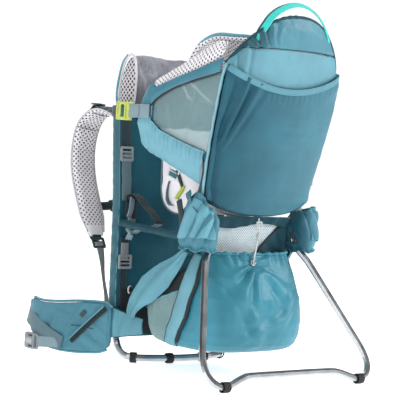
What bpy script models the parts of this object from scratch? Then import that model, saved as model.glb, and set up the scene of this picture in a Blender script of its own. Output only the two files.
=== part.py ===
"""Framed child carrier backpack: aluminium frame, folding kickstand, padded
harness, height adjustable child seat, headrest, cockpit wings and storage bag.

Dimensions below are in centimetres and are turned into metres by CM.
+X is the right-hand side seen from outside, +Y points to the wearer,
+Z is up, and the feet stand on Z = 0.
"""
import math
import bpy
import bmesh
from mathutils import Vector, Matrix

CM = 0.01

# ---------------------------------------------------------------- dimensions
DATUM_Y = 12.21979         # moves the design frame so the box is centred in Y
GAP = 0.03                 # running gap between neighbouring pieces

BACK_HALF_W = 14.5         # half width of the back panel
BACK_BOTTOM, BACK_TOP = 5.0, 51.2
COVER_T = 0.45             # thickness of the cover skin
COVER_DEPTH = 2.6          # depth of the cover's side returns

FRAME_R = 0.70             # back frame tube radius
FRAME_X = 12.9             # back frame upright position
BASE_Z = 1.05               # height of the bowed base bar
RAIL_R = 0.60              # seat frame tube radius
RAIL_X = 13.9
LEG_R = 0.675              # kickstand tube radius

PIVOT = (11.8, -28.04, 27.3)   # kickstand pivot, right side
LEG_SLOPE = 0.578          # outward run of the kickstand per unit of drop
LEG_SPLAY = 0.437          # sideways run of the legs per unit of drop
PIN_R = 0.30

HEAD_BOTTOM, HEAD_TOP = 32.0, 71.4
HEAD_LEAN = 0.205

SEAT_TOP, SEAT_BOTTOM = 43.0, 31.0

BAG_TOP, BAG_BOTTOM = 25.0, 5.2


def clear_scene():
    for ob in list(bpy.data.objects):
        bpy.data.objects.remove(ob, do_unlink=True)


# ------------------------------------------------------------------ materials
def material(name, colour, roughness, metallic=0.0):
    mat = bpy.data.materials.get(name)
    if mat is None:
        mat = bpy.data.materials.new(name)
        mat.use_nodes = True
        shader = mat.node_tree.nodes["Principled BSDF"]
        shader.inputs["Base Color"].default_value = (*colour, 1.0)
        shader.inputs["Roughness"].default_value = roughness
        shader.inputs["Metallic"].default_value = metallic
    return mat


PALETTE = {
    "teal_fabric": ((0.060, 0.190, 0.235), 0.65, 0.0),
    "dark_fabric": ((0.012, 0.055, 0.075), 0.70, 0.0),
    "light_teal": ((0.110, 0.300, 0.350), 0.62, 0.0),
    "grey_fleece": ((0.300, 0.295, 0.310), 0.95, 0.0),
    "air_mesh": ((0.620, 0.600, 0.640), 0.85, 0.0),
    "grey_mesh": ((0.300, 0.330, 0.330), 0.70, 0.0),
    "grey_webbing": ((0.180, 0.260, 0.290), 0.70, 0.0),
    "turquoise": ((0.020, 0.560, 0.520), 0.60, 0.0),
    "black_tube": ((0.035, 0.037, 0.040), 0.22, 1.0),
    "grey_tube": ((0.300, 0.310, 0.320), 0.30, 1.0),
    "steel": ((0.550, 0.560, 0.570), 0.30, 1.0),
    "black_rubber": ((0.012, 0.012, 0.013), 0.75, 0.0),
    "grey_plastic": ((0.260, 0.280, 0.300), 0.45, 0.0),
    "dark_plastic": ((0.020, 0.045, 0.050), 0.45, 0.0),
    "lime_plastic": ((0.550, 0.640, 0.060), 0.40, 0.0),
    "white_plastic": ((0.620, 0.630, 0.640), 0.40, 0.0),
    "plate_plastic": ((0.050, 0.050, 0.055), 0.55, 0.0),
}


# -------------------------------------------------------------- mesh builders
EMPTIES = {}


def empty(name, at, parent=None):
    ob = bpy.data.objects.new(name, None)
    ob.empty_display_size = 0.03
    bpy.context.collection.objects.link(ob)
    ob.location = Vector(at) * CM
    if parent is not None:
        ob.parent = EMPTIES[parent][0]
        ob.location = (Vector(at) - EMPTIES[parent][1]) * CM
    EMPTIES[name] = (ob, Vector(at))
    return ob


def make(name, verts, faces, palette, body="carrier_datum", sharp=38.0):
    """One closed body from centimetre vertices, parented to a body's empty."""
    parent, at = EMPTIES[body]
    mesh = bpy.data.meshes.new(name)
    mesh.from_pydata([(Vector(v) - at) * CM for v in verts], [], faces)
    bm = bmesh.new()
    bm.from_mesh(mesh)
    bmesh.ops.recalc_face_normals(bm, faces=bm.faces)
    if bm.calc_volume(signed=True) < 0:
        bmesh.ops.reverse_faces(bm, faces=bm.faces)
    bm.to_mesh(mesh)
    bm.free()
    mesh.materials.append(material(palette, *PALETTE[palette]))
    ob = bpy.data.objects.new(name, mesh)
    bpy.context.collection.objects.link(ob)
    ob.parent = parent
    mesh.shade_smooth()
    mesh.set_sharp_from_angle(angle=math.radians(sharp))
    return ob


def loft(rings, closed=False):
    """Skin a list of equal-length closed rings; the ends get fans."""
    n = len(rings[0])
    verts = [Vector(p) for ring in rings for p in ring]
    faces = []
    count = len(rings)
    for i in range(count if closed else count - 1):
        a, b = i * n, ((i + 1) % count) * n
        for j in range(n):
            k = (j + 1) % n
            faces.append((a + j, a + k, b + k, b + j))
    if not closed:
        for ring_i, flip in ((0, True), (count - 1, False)):
            base = ring_i * n
            centre = sum((verts[base + j] for j in range(n)), Vector()) / n
            verts.append(centre)
            c = len(verts) - 1
            for j in range(n):
                k = (j + 1) % n
                faces.append((c, base + k, base + j) if flip
                             else (c, base + j, base + k))
    return verts, faces


def catmull(points, per=4, closed=False):
    """Smooth curve through way points."""
    pts = [Vector(p) for p in points]
    out = []
    n = len(pts)
    spans = n if closed else n - 1
    for i in range(spans):
        if closed:
            p0, p1, p2, p3 = (pts[(i + k) % n] for k in (-1, 0, 1, 2))
        else:
            p1, p2 = pts[i], pts[i + 1]
            p0 = pts[i - 1] if i else p1 * 2 - p2
            p3 = pts[i + 2] if i + 2 < n else p2 * 2 - p1
        for s in range(per):
            t = s / per
            out.append(0.5 * ((2 * p1) + (p2 - p0) * t
                              + (2 * p0 - 5 * p1 + 4 * p2 - p3) * t * t
                              + (3 * p1 - p0 - 3 * p2 + p3) * t ** 3))
    if not closed:
        out.append(pts[-1])
    return out


def tangents(path, closed=False):
    n = len(path)
    out = []
    for i in range(n):
        if closed:
            d = path[(i + 1) % n] - path[i - 1]
        else:
            d = path[min(i + 1, n - 1)] - path[max(i - 1, 0)]
        out.append(d.normalized())
    return out


def tube(path, radius, sides=10, closed=False, side_hint=(0, 0, 1)):
    """Round tube along a path, twisted as little as the path allows."""
    tan = tangents(path, closed)
    ref = Vector(side_hint)
    u = (ref - tan[0] * ref.dot(tan[0])).normalized()
    rings = []
    for p, t in zip(path, tan):
        u = (u - t * u.dot(t)).normalized()
        w = t.cross(u)
        rings.append([p + (u * math.cos(a) + w * math.sin(a)) * radius
                      for a in (2 * math.pi * k / sides for k in range(sides))])
    if closed:
        # spread the remaining twist over the loop
        u0 = (rings[0][0] - path[0]).normalized()
        t = tan[0]
        uu = (u - t * u.dot(t)).normalized()
        twist = math.atan2(u0.cross(uu).dot(t), u0.dot(uu))
        n = len(rings)
        for i in range(n):
            rot = Matrix.Rotation(-twist * i / n, 3, tan[i])
            rings[i] = [path[i] + rot @ (q - path[i]) for q in rings[i]]
    return loft(rings, closed)


def strap(path, wide, width, thick, closed=False):
    """Flat webbing: a rectangular section whose long side follows `wide`."""
    tan = tangents(path, closed)
    rings = []
    for i, (p, t) in enumerate(zip(path, tan)):
        w = Vector(wide(i / max(1, len(path) - 1)) if callable(wide) else wide)
        w = (w - t * w.dot(t)).normalized()
        n = t.cross(w)
        a, b = w * (width / 2), n * (thick / 2)
        rings.append([p - a - b, p + a - b, p + a + b, p - a + b])
    return loft(rings, closed)


def sheet(surface, nu, nv, thick):
    """Closed sheet around surface(u, v), u and v from 0 to 1."""
    def at(u, v):
        return Vector(surface(u, v))

    front, back = [], []
    e = 1e-3
    for i in range(nu + 1):
        for j in range(nv + 1):
            u, v = i / nu, j / nv
            du = at(min(1, u + e), v) - at(max(0, u - e), v)
            dv = at(u, min(1, v + e)) - at(u, max(0, v - e))
            n = du.cross(dv).normalized()
            t = thick(u, v) if callable(thick) else thick
            p = at(u, v)
            front.append(p + n * t / 2)
            back.append(p - n * t / 2)
    m = nv + 1
    off = len(front)
    faces = []
    for i in range(nu):
        for j in range(nv):
            a, b, c, d = i * m + j, (i + 1) * m + j, (i + 1) * m + j + 1, i * m + j + 1
            faces.append((a, b, c, d))
            faces.append((off + d, off + c, off + b, off + a))
    for i in range(nu):
        a, b = i * m, (i + 1) * m
        faces.append((b, a, off + a, off + b))
        a, b = i * m + nv, (i + 1) * m + nv
        faces.append((a, b, off + b, off + a))
    for j in range(nv):
        a, b = j, j + 1
        faces.append((a, b, off + b, off + a))
        a, b = nu * m + j, nu * m + j + 1
        faces.append((b, a, off + a, off + b))
    return front + back, faces


def rounded(half_a, half_b, corner, per=3):
    """Rounded rectangle outline as (a, b) pairs."""
    out = []
    for sx, sy, start in ((1, 1, 0), (-1, 1, 90), (-1, -1, 180), (1, -1, 270)):
        cx, cy = sx * (half_a - corner), sy * (half_b - corner)
        for k in range(per):
            a = math.radians(start + 90 * k / (per - 1))
            out.append((cx + corner * math.cos(a), cy + corner * math.sin(a)))
    return out


def block(centre, x_dir, y_dir, half, corner=0.15, edge=0.08):
    """Rounded block: half = half sizes along x_dir, y_dir and their normal."""
    c = Vector(centre)
    xd, yd = Vector(x_dir).normalized(), Vector(y_dir)
    yd = (yd - xd * yd.dot(xd)).normalized()
    zd = xd.cross(yd)
    rings = []
    for h, inset in ((-half[2], edge), (-half[2] + edge, 0.0),
                     (half[2] - edge, 0.0), (half[2], edge)):
        rings.append([c + xd * a + yd * b + zd * h for a, b in
                      rounded(half[0] - inset, half[1] - inset,
                              max(corner - inset, 0.03))])
    return loft(rings)


def window_plate(centre, x_dir, y_dir, half, hole, thick):
    """Flat plate with one rectangular window, such as a buckle frame."""
    c = Vector(centre)
    xd, yd = Vector(x_dir).normalized(), Vector(y_dir)
    yd = (yd - xd * yd.dot(xd)).normalized()
    zd = xd.cross(yd)
    outer = rounded(half[0], half[1], 0.35)
    inner = rounded(hole[0], hole[1], 0.1)
    rings = []
    for loop, h in ((outer, -1), (outer, 1), (inner, 1), (inner, -1)):
        rings.append([c + xd * a + yd * b + zd * (h * thick / 2) for a, b in loop])
    return loft(rings, closed=True)


def foot_ring(at, along, radius_in, bottom, width):
    """Rubber clip around a tube with a flat facet on the ground."""
    at = Vector(at)
    t = Vector(along)
    t.z = 0.0
    t.normalize()
    side = t.cross(Vector((0, 0, 1)))
    up = Vector((0, 0, 1))
    sides = 12
    big = (at.z - bottom) / math.cos(math.pi / sides)
    rings = []
    for radius, w in ((big, -1), (big, 1), (radius_in, 1), (radius_in, -1)):
        ring = []
        for k in range(sides):
            a = 2 * math.pi * (k + 0.5) / sides - math.pi / 2
            r = radius
            ring.append(at + t * (w * width / 2)
                        + (side * math.cos(a) + up * math.sin(a)) * r)
        rings.append(ring)
    return loft(rings, closed=True)


def turned_x(centre, profile, sides=14):
    """Solid turned about an axis along X: profile of (x, radius)."""
    c = Vector(centre)
    rings = []
    for x, r in profile:
        rings.append([c + Vector((x, r * math.cos(a), r * math.sin(a)))
                      for a in (2 * math.pi * k / sides for k in range(sides))])
    return loft(rings)


def bored_x(centre, half_len, r_out, r_in, sides=16):
    """Ring turned about X, such as the knuckle at the top of a leg."""
    c = Vector(centre)
    rings = []
    for r, x in ((r_out, -half_len), (r_out, half_len), (r_in, half_len), (r_in, -half_len)):
        rings.append([c + Vector((x, r * math.cos(a), r * math.sin(a)))
                      for a in (2 * math.pi * k / sides for k in range(sides))])
    return loft(rings, closed=True)


def cut(ob, cutter):
    cutter.hide_render = True
    cutter.display_type = 'WIRE'
    mod = ob.modifiers.new("cut_" + cutter.name, 'BOOLEAN')
    mod.operation = 'DIFFERENCE'
    mod.solver = 'EXACT'
    mod.object = cutter


# ------------------------------------------------------------- design surfaces
def hermite(table, x):
    """Smooth curve through (x, y) pairs, straight beyond its ends."""
    if x <= table[0][0]:
        (x0, y0), (x1, y1) = table[0], table[1]
        return y0 + (y1 - y0) * (x - x0) / (x1 - x0)
    if x >= table[-1][0]:
        (x0, y0), (x1, y1) = table[-2], table[-1]
        return y1 + (y1 - y0) * (x - x1) / (x1 - x0)
    for i in range(len(table) - 1):
        (x0, y0), (x1, y1) = table[i], table[i + 1]
        if x <= x1:
            m0 = ((y1 - table[i - 1][1]) / (x1 - table[i - 1][0])) if i else (y1 - y0) / (x1 - x0)
            m1 = ((table[i + 2][1] - y0) / (table[i + 2][0] - x0)) if i + 2 < len(table) else (y1 - y0) / (x1 - x0)
            h = x1 - x0
            t = (x - x0) / h
            return ((2 * t ** 3 - 3 * t * t + 1) * y0 + (t ** 3 - 2 * t * t + t) * h * m0
                    + (-2 * t ** 3 + 3 * t * t) * y1 + (t ** 3 - t * t) * h * m1)


BACK_LINE = ((5.0, -4.0), (14.0, -3.2), (24.0, -2.9), (32.0, -2.6),
             (42.0, -1.65), (52.0, -0.7), (60.0, 0.1))


def back_y(z):
    """Outer face of the back panel at height z."""
    return hermite(BACK_LINE, z)


def head_width(v):
    w = 13.8 + 1.7 * math.sin(math.pi / 2 * min(1.0, v / 0.65))
    return w - 0.7 * max(0.0, (v - 0.8) / 0.2) ** 2


def head_bottom(u):
    return HEAD_BOTTOM + 3.0 * abs(u) ** 2.5


def head_top(u):
    return HEAD_TOP - 9.8 * abs(u) ** 2.3


def head_point(u, v, offset=0.0):
    """Middle surface of the headrest cover; u is -1..1, v is 0..1."""
    z = head_bottom(u) + (head_top(u) - head_bottom(u)) * v
    y = (-(28.2 + HEAD_LEAN * (z - 35.3)) - 1.7 * (1 - u * u)
         - 0.8 * (1 - abs(u) ** 8) + 0.8 * v ** 8)
    return Vector((u * head_width(v), y + offset, z))


def leg_point(x, z):
    """A point in the kickstand's plane, given its height."""
    return Vector((x, PIVOT[1] - LEG_SLOPE * (PIVOT[2] - z), z))


def mirrored(path):
    """Full symmetric path from its right half that ends on X = 0."""
    half = [Vector(p) for p in path]
    other = [Vector((-p.x, p.y, p.z)) for p in half]
    return half + other[::-1][(1 if abs(half[-1].x) < 1e-6 else 0):]


def sided(side, *points):
    return [Vector((side * p[0], p[1], p[2])) for p in points]


SIDES = (("left", -1), ("right", 1))


# -------------------------------------------------------------------- the frame
def build_frame():
    # back frame: one closed tube, two uprights joined by a bow below and a
    # cross tube above
    def up(z):
        return (FRAME_X, back_y(z) + 1.55, z)
    half = [(0, -10.5, BASE_Z), (4.5, -10.1, BASE_Z), (8.6, -9.0, BASE_Z), (11.6, -7.2, BASE_Z),
            (12.75, -5.0, 1.5), (12.9, -3.3, 3.1), up(5.6), up(9), up(16), up(24), up(32), up(40),
            up(46), (12.4, back_y(48.6) + 1.55, 48.6), (10.6, back_y(49.9) + 1.55, 49.9),
            (0, back_y(49.9) + 1.55, 49.9)]
    half = [Vector(p) for p in half]
    left = [Vector((-p.x, p.y, p.z)) for p in half[1:-1]][::-1]
    loop = catmull(half + left, 2, closed=True)
    make("back_frame_tube", *tube(loop, FRAME_R, 8, closed=True, side_hint=(0, 0, 1)), "grey_tube")

    # rubber clips under the bow
    for side_name, s in SIDES:
        for pos_name, p in (("outer", (11.3, -7.45, BASE_Z)),
                               ("inner", (4.5, -10.1, BASE_Z))):
            at = min(loop, key=lambda q: (q - Vector((s * p[0], p[1], p[2]))).length)
            i = loop.index(at)
            along = loop[(i + 1) % len(loop)] - loop[i - 1]
            make(f"base_foot_{side_name}_{pos_name}",
                 *foot_ring((at.x, at.y, at.z), along, FRAME_R + 0.15, 0.0, 1.3),
                 "black_rubber")

    # seat frame: rails run out from the uprights, turn up and arch over inside
    # the headrest
    half = [(13.35, back_y(28.5) + 0.80, 28.5), (13.6, back_y(28.5) + 0.1, 28.5),
            (RAIL_X, -3.8, 28.4), (RAIL_X, -10, 28.0), (RAIL_X, -18, 27.6), (RAIL_X, -25, 27.4),
            (RAIL_X, -27.7, 28.1), (RAIL_X, -28.6, 30.2), (13.1, -27.9, 32.6)]
    for u, v in ((0.885, 0.06), (0.892, 0.30), (0.895, 0.55), (0.892, 0.75), (0.885, 0.86),
                 (0.77, 0.935), (0.60, 0.95), (0.40, 0.953), (0.20, 0.955), (0.0, 0.955)):
        p = head_point(u, v)
        half.append((p.x, p.y + (1.65 if v < 0.1 else 1.35), p.z))
    path = catmull(mirrored(half), 2)
    make("seat_frame_tube", *tube(path, RAIL_R, 7, side_hint=(0, 0, 1)), "grey_tube")

    # kickstand: one bent tube with a knuckle on each end and two rubber feet
    way = [(PIVOT[0], 26.12), (11.83, 25.75), (12.2, 24.95), (13.5, 23.2), (15.0, 20.0), (17.2, 15.0),
           (19.4, 10.0), (20.8, 6.8), (21.25, 4.7), (20.95, 3.0), (19.9, 1.75), (18.6, 1.14),
           (17.6, 1.0), (16.4, 1.15), (14.2, 1.9), (12.2, 2.45), (10.6, 2.65), (5.3, 2.70), (0, 2.70)]
    half = [leg_point(x, z) for x, z in way]
    path = catmull(mirrored(half), 2)
    make("kickstand_tube", *tube(path, LEG_R, 8, side_hint=(0, 1, 0)), "black_tube", "kickstand_axis")
    for side_name, s in SIDES:
        c = Vector((s * PIVOT[0], PIVOT[1], PIVOT[2]))
        make(f"kickstand_knuckle_{side_name}", *bored_x(c, 0.70, 1.12, PIN_R + 0.045),
             "black_tube", "kickstand_axis")
        foot = leg_point(s * 17.6, 1.0)
        make(f"kickstand_foot_{side_name}", *foot_ring(foot, (1, 0, 0), LEG_R + 0.20, 0.0, 1.6),
             "black_rubber", "kickstand_axis")
        # clevis bracket that hangs from the rail
        prof = [(-1.05, -0.9), (-0.74, -0.9), (-0.74, 1.25), (0.74, 1.25), (0.74, -0.9), (1.05, -0.9),
                (1.05, 1.25), (1.42, 1.25), (1.42, 1.6), (-1.05, 1.6)]
        rings = []
        for y in (-1.0, 1.0):
            rings.append([c + Vector((s * a, y, b)) for a, b in prof])
        verts = [v for ring in rings for v in ring]
        n = len(prof)
        faces = [(j, (j + 1) % n, n + (j + 1) % n, n + j) for j in range(n)]
        # the end faces as quads over the profile's three plates
        for base in (0, n):
            faces += [tuple(base + k for k in q) for q in
                      ((0, 1, 2, 9), (3, 4, 5, 6), (2, 3, 6, 8, 9), (6, 7, 8))]
        bracket = make(f"hinge_bracket_{side_name}", verts, faces, "steel")
        bore = make(f"bore_cutter_{side_name}",
                    *turned_x(c, ((-2.0, PIN_R + 0.04), (2.0, PIN_R + 0.04)), 16), "steel")
        cut(bracket, bore)
        make(f"hinge_pin_{side_name}",
             *turned_x(c, [(s * x, r) for x, r in
                           ((-1.32, 0.42), (-1.25, 0.52), (-1.08, 0.52), (-1.079, PIN_R),
                            (1.079, PIN_R), (1.08, 0.46), (1.22, 0.46), (1.26, 0.40))]), "steel")


# --------------------------------------------------------------- back and harness
def build_back():
    # cover: a channel that wraps the frame, open towards the wearer
    rings = []
    zs = [BACK_BOTTOM, 6.0, 8.0, 12, 16, 20, 24, 28, 32, 36, 40, 44, 47.5, 49.6, 50.7, BACK_TOP]
    for z in zs:
        edge = min(z - BACK_BOTTOM, BACK_TOP - z)
        w = BACK_HALF_W - 0.2 * max(0.0, 1 - edge / 1.4) ** 2
        y = back_y(z)
        prof = [(-w, 0.35), (-w + 0.35, 0.0), (w - 0.35, 0.0), (w, 0.35), (w, COVER_DEPTH),
                (w - 0.5, COVER_DEPTH), (w - 0.5, COVER_T), (-w + 0.5, COVER_T),
                (-w + 0.5, COVER_DEPTH), (-w, COVER_DEPTH)]
        rings.append([(a, y + b, z) for a, b in prof])
    verts = [Vector(p) for ring in rings for p in ring]
    n = 10
    faces = []
    for i in range(len(rings) - 1):
        for j in range(n):
            k = (j + 1) % n
            faces.append((i * n + j, i * n + k, (i + 1) * n + k, (i + 1) * n + j))
    for base in (0, (len(rings) - 1) * n):
        faces += [tuple(base + k for k in q) for q in
                  ((1, 2, 6, 7), (2, 3, 6), (3, 4, 5, 6), (0, 1, 7), (0, 7, 8, 9))]
    cover = make("back_panel_cover", verts, faces, "teal_fabric")
    for side_name, s in SIDES:
        notch = make(f"rail_notch_cutter_{side_name}",
                     *block((s * 13.9, back_y(28.5) + 0.1, 28.5), (1, 0, 0), (0, 1, 0), (1.4, 1.3, 1.0),
                            0.2, 0.05), "steel")
        cut(cover, notch)

    def plate(u, v):
        z = 8.0 + 40.0 * v
        return ((2 * u - 1) * 11.7, back_y(z) + 0.85, z)
    make("back_plate", *sheet(plate, 2, 10, 0.25), "plate_plastic")

    # pads on the wearer's side
    for side_name, s in SIDES:
        rings = []
        for k in range(9):
            v = k / 8
            z = 14.5 + 23.5 * v
            shrink = (1 - abs(2 * v - 1) ** 6)
            cx, half_w = 8.4, 4.9 * (0.72 + 0.28 * shrink)
            t = 0.85 * (0.45 + 0.55 * shrink)
            y = back_y(z) + COVER_DEPTH + 0.12 + t
            rings.append([(s * (cx + a), y + b, z) for a, b in rounded(half_w, t, min(t * 0.95, 0.8), 3)])
        make(f"back_pad_{side_name}", *loft(rings), "grey_mesh")
    rings = []
    for k in range(7):
        v = k / 6
        z = 5.6 + 7.9 * v
        shrink = (1 - abs(2 * v - 1) ** 4)
        t = 0.7 + 0.5 * shrink
        y = back_y(z) + COVER_DEPTH + 0.15 + t
        rings.append([(a, y + b, z) for a, b in rounded(9.5 + 1.6 * shrink, t, t * 0.95, 3)])
    make("lumbar_pad", *loft(rings), "air_mesh")

    # yoke plate that slides on the back, and the shoulder straps on it
    def yoke(u, v):
        z = 38.5 + 8.5 * v
        w = 5.2 - 0.8 * abs(2 * v - 1) ** 3
        return ((2 * u - 1) * w, back_y(38.5) + 0.095 * (z - 38.5) + 1.75, z)
    make("yoke_plate", *sheet(yoke, 2, 4, 0.3), "plate_plastic", "yoke_slide")

    for side_name, s in SIDES:
        path = catmull(sided(s, (4.6, 2.9, 44.9), (5.7, 5.6, 48.4), (6.7, 9.6, 51.0), (7.7, 13.6, 51.1),
                             (8.6, 16.9, 48.4), (9.2, 18.0, 43.5), (9.5, 17.2, 38.0),
                             (9.6, 14.9, 32.5), (9.6, 12.3, 27.5), (9.6, 10.6, 24.4)), 2)
        tan = tangents(path)
        rings = []
        count = len(path)
        for i, (p, t) in enumerate(zip(path, tan)):
            f = i / (count - 1)
            w = Vector((1, 0, 0))
            w = (w - t * w.dot(t)).normalized()
            nrm = t.cross(w)
            half_w = 3.15 * (0.62 + 0.38 * min(1.0, f / 0.12, (1 - f) / 0.10))
            half_t = 0.80 * (0.55 + 0.45 * min(1.0, f / 0.10, (1 - f) / 0.08))
            rings.append([p + w * a + nrm * b for a, b in rounded(half_w, half_t, half_t * 0.9, 3)])
        make(f"shoulder_strap_{side_name}", *loft(rings), "air_mesh", "yoke_slide")
        make(f"strap_ladderlock_{side_name}",
             *window_plate((s * 9.65, 9.75, 23.0), (1, 0, 0), (0, 0.52, 0.86), (1.55, 0.95), (1.05, 0.42), 0.40),
             "grey_plastic", "yoke_slide")
        path = catmull(sided(s, (9.68, 9.1, 21.75), (9.8, 7.5, 17.8), (10.0, 6.0, 13.6), (10.2, 5.1, 9.6)), 2)
        make(f"strap_webbing_{side_name}", *strap(path, (1, 0, 0), 2.0, 0.25), "grey_webbing", "yoke_slide")

    # chest strap, buckled in the middle
    along = Vector((0, 0.42, 0.907)).normalized()
    z0, y0 = 30.6, 15.25
    for side_name, s in SIDES:
        path = [Vector((s * x, y0, z0)) for x in (8.9, 6.0, 3.0)]
        make(f"sternum_strap_{side_name}", *strap(path, along, 2.0, 0.25), "dark_fabric", "sternum_slide")
    make("sternum_buckle_socket", *block((-1.62, y0, z0), (1, 0, 0), along, (1.30, 1.35, 0.45), 0.4, 0.15),
         "dark_plastic", "sternum_slide")
    make("sternum_buckle_plug", *block((1.32, y0, z0), (1, 0, 0), along, (1.55, 1.25, 0.40), 0.4, 0.15),
         "dark_plastic", "sternum_slide")


def hip_plan(s):
    return catmull([(s * x, y, 0) for x, y in
                    ((15.5, -4.4), (17.6, -0.8), (19.5, 3.4), (20.6, 8.0), (20.9, 12.6), (20.0, 16.8), (18.6, 19.2))], 3)


def build_hips():
    for side_name, s in SIDES:
        plan = hip_plan(s)
        count = len(plan)
        tan = tangents(plan)
        rings = []
        for i, (p, t) in enumerate(zip(plan, tan)):
            f = i / (count - 1)
            n = Vector((t.y, -t.x, 0)) * s
            low = 1.9 - 1.0 * math.sin(math.pi * min(1, f * 1.25)) + 2.4 * max(0, (f - 0.8) / 0.2) ** 2
            high = 12.0 - 1.4 * f - 2.2 * max(0, (f - 0.85) / 0.15) ** 2
            half_t = 0.75 - 0.30 * f
            mid, half_h = (low + high) / 2, (high - low) / 2
            rings.append([p + n * a + Vector((0, 0, mid + b)) for a, b in
                          rounded(half_t, half_h, half_t * 0.9, 3)])
        make(f"hip_wing_{side_name}", *loft(rings), "teal_fabric")
        path = catmull(sided(s, (21.4, 4.6, 2.5), (22.05, 9.2, 4.1), (22.0, 13.2, 5.6), (21.1, 16.9, 6.6),
                             (19.7, 19.55, 6.9)), 2)
        make(f"hip_webbing_{side_name}", *strap(path, (0, -0.35, 0.93), 2.5, 0.25), "grey_webbing")
    make("hip_buckle_socket", *block((-22.45, 14.3, 1.95), (0, 1, 0), (0, 0, 1), (2.3, 1.75, 0.45), 0.5, 0.15),
         "grey_plastic")
    make("hip_buckle_plug", *block((22.45, 14.3, 1.95), (0, 1, 0), (0, 0, 1), (2.3, 1.6, 0.45), 0.5, 0.15),
         "grey_plastic")
    make("hip_zip_slider", *block((-19.30, 0.55, 9.3), (-0.28, 0.63, -0.73), (-0.90, -0.41, 0),
                                  (0.75, 0.20, 0.40), 0.12, 0.06), "dark_plastic", "zip_slide")


# ------------------------------------------------------------------ child's cabin
def build_cabin():
    def shell(u, v):
        return head_point(2 * u - 1, v)
    make("headrest_panel", *sheet(shell, 14, 10, 0.4), "light_teal")

    def pocket(u, v):
        uu = 2 * u - 1
        band = 57.2 + 4.0 * uu * uu
        z = head_bottom(uu) + 0.4 + (band - head_bottom(uu) - 0.4) * v
        vv = (z - head_bottom(uu)) / (head_top(uu) - head_bottom(uu))
        p = head_point(uu * 0.975, vv, -0.72)
        return p
    make("headrest_pocket", *sheet(pocket, 12, 6, 0.22), "teal_fabric")

    def pad(u, v):
        uu = (2 * u - 1) * 0.80
        return head_point(uu, 0.10 + 0.76 * v, 1.55)
    make("headrest_pad", *sheet(pad, 10, 8, lambda u, v: 0.5 + 1.3 * (math.sin(math.pi * u) * math.sin(math.pi * v)) ** 0.4
                                if 0 < u < 1 and 0 < v < 1 else 0.5), "air_mesh")

    # carry handle, a webbing arch in front of the dome
    count = 18
    path = []
    for k in range(count + 1):
        a = math.pi * (-0.06 + 1.12 * k / count)
        path.append(Vector((-9.15 * math.cos(a), -37.45 + 1.0 * max(0, math.sin(a)), 66.2 + 8.0 * math.sin(a))))

    def wide(f):
        a = math.pi * (-0.06 + 1.12 * f)
        k = 0.70 * max(0.0, math.sin(a)) ** 0.5
        radial = Vector((-math.cos(a), 0, math.sin(a)))
        return radial * (1 - k * 0.45) + Vector((0, 1, 0)) * k
    make("carry_handle", *strap(path, wide, 1.9, 0.4), "turquoise")

    # cockpit wings, from the headrest's edges towards the front pad
    left_low = catmull([(-14.95, -27.8, 39.0), (-15.1, -24.2, 40.3), (-15.0, -16.9, 42.6), (-14.7, -12.0, 44.2),
                        (-14.4, -9.3, 45.2)], 6)
    left_high = catmull([(-15.0, -30.2, 64.2), (-15.1, -25.1, 62.9), (-15.0, -20.7, 61.1), (-14.7, -16.1, 59.3),
                         (-14.4, -12.2, 57.6)], 6)
    right_low = catmull([(14.95, -27.8, 39.0), (15.1, -22.0, 40.6), (15.0, -14.8, 44.0), (14.2, -8.8, 49.0),
                         (11.4, -5.9, 55.8), (6.0, -5.3, 60.8), (1.4, -5.1, 62.4)], 5)
    right_high = catmull([(15.0, -30.2, 64.2), (15.2, -24.0, 65.4), (15.0, -16.0, 67.0), (13.9, -9.5, 68.4),
                          (11.0, -6.3, 68.6), (6.6, -5.3, 68.2), (2.8, -5.1, 66.0)], 5)
    for side_name, s, low, high in (("left", -1, left_low, left_high), ("right", 1, right_low, right_high)):
        m = len(low) - 1

        def wing(u, v, low=low, high=high, s=s, m=m):
            x = u * m
            i = min(int(x), m - 1)
            a = low[i].lerp(low[i + 1], x - i)
            b = high[i].lerp(high[i + 1], x - i)
            p = a.lerp(b, v)
            p.x += s * 0.7 * math.sin(math.pi * v) * math.sin(math.pi * min(1, u * 1.1)) ** 0.5 if 0 < u < 0.9 else 0
            return p
        make(f"cockpit_wing_{side_name}",
             *sheet(wing, 11, 6, lambda u, v: 0.45 + 0.75 * max(0.0, (v - 0.72) / 0.28) ** 0.5), "light_teal")
        make(f"side_entry_buckle_{side_name}",
             *window_plate((s * 15.25, -3.70, 51.3), (0, 1, 0), (0, 0, 1), (2.35, 1.9), (0.55, 1.35), 0.6),
             "lime_plastic")

    # fleece front pad over the top of the back panel
    rings = []
    for k in range(11):
        v = 2 * k / 10 - 1
        x = 12.2 * v
        f = (1 - abs(v) ** 8)
        half_y, half_z = 1.9 + 1.1 * f, 4.7 + 1.2 * f
        rings.append([(x, 0.4 + a, 57.35 + b) for a, b in rounded(half_y, half_z, half_y * 0.92, 4)])
    make("front_pad", *loft(rings), "grey_fleece")


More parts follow.
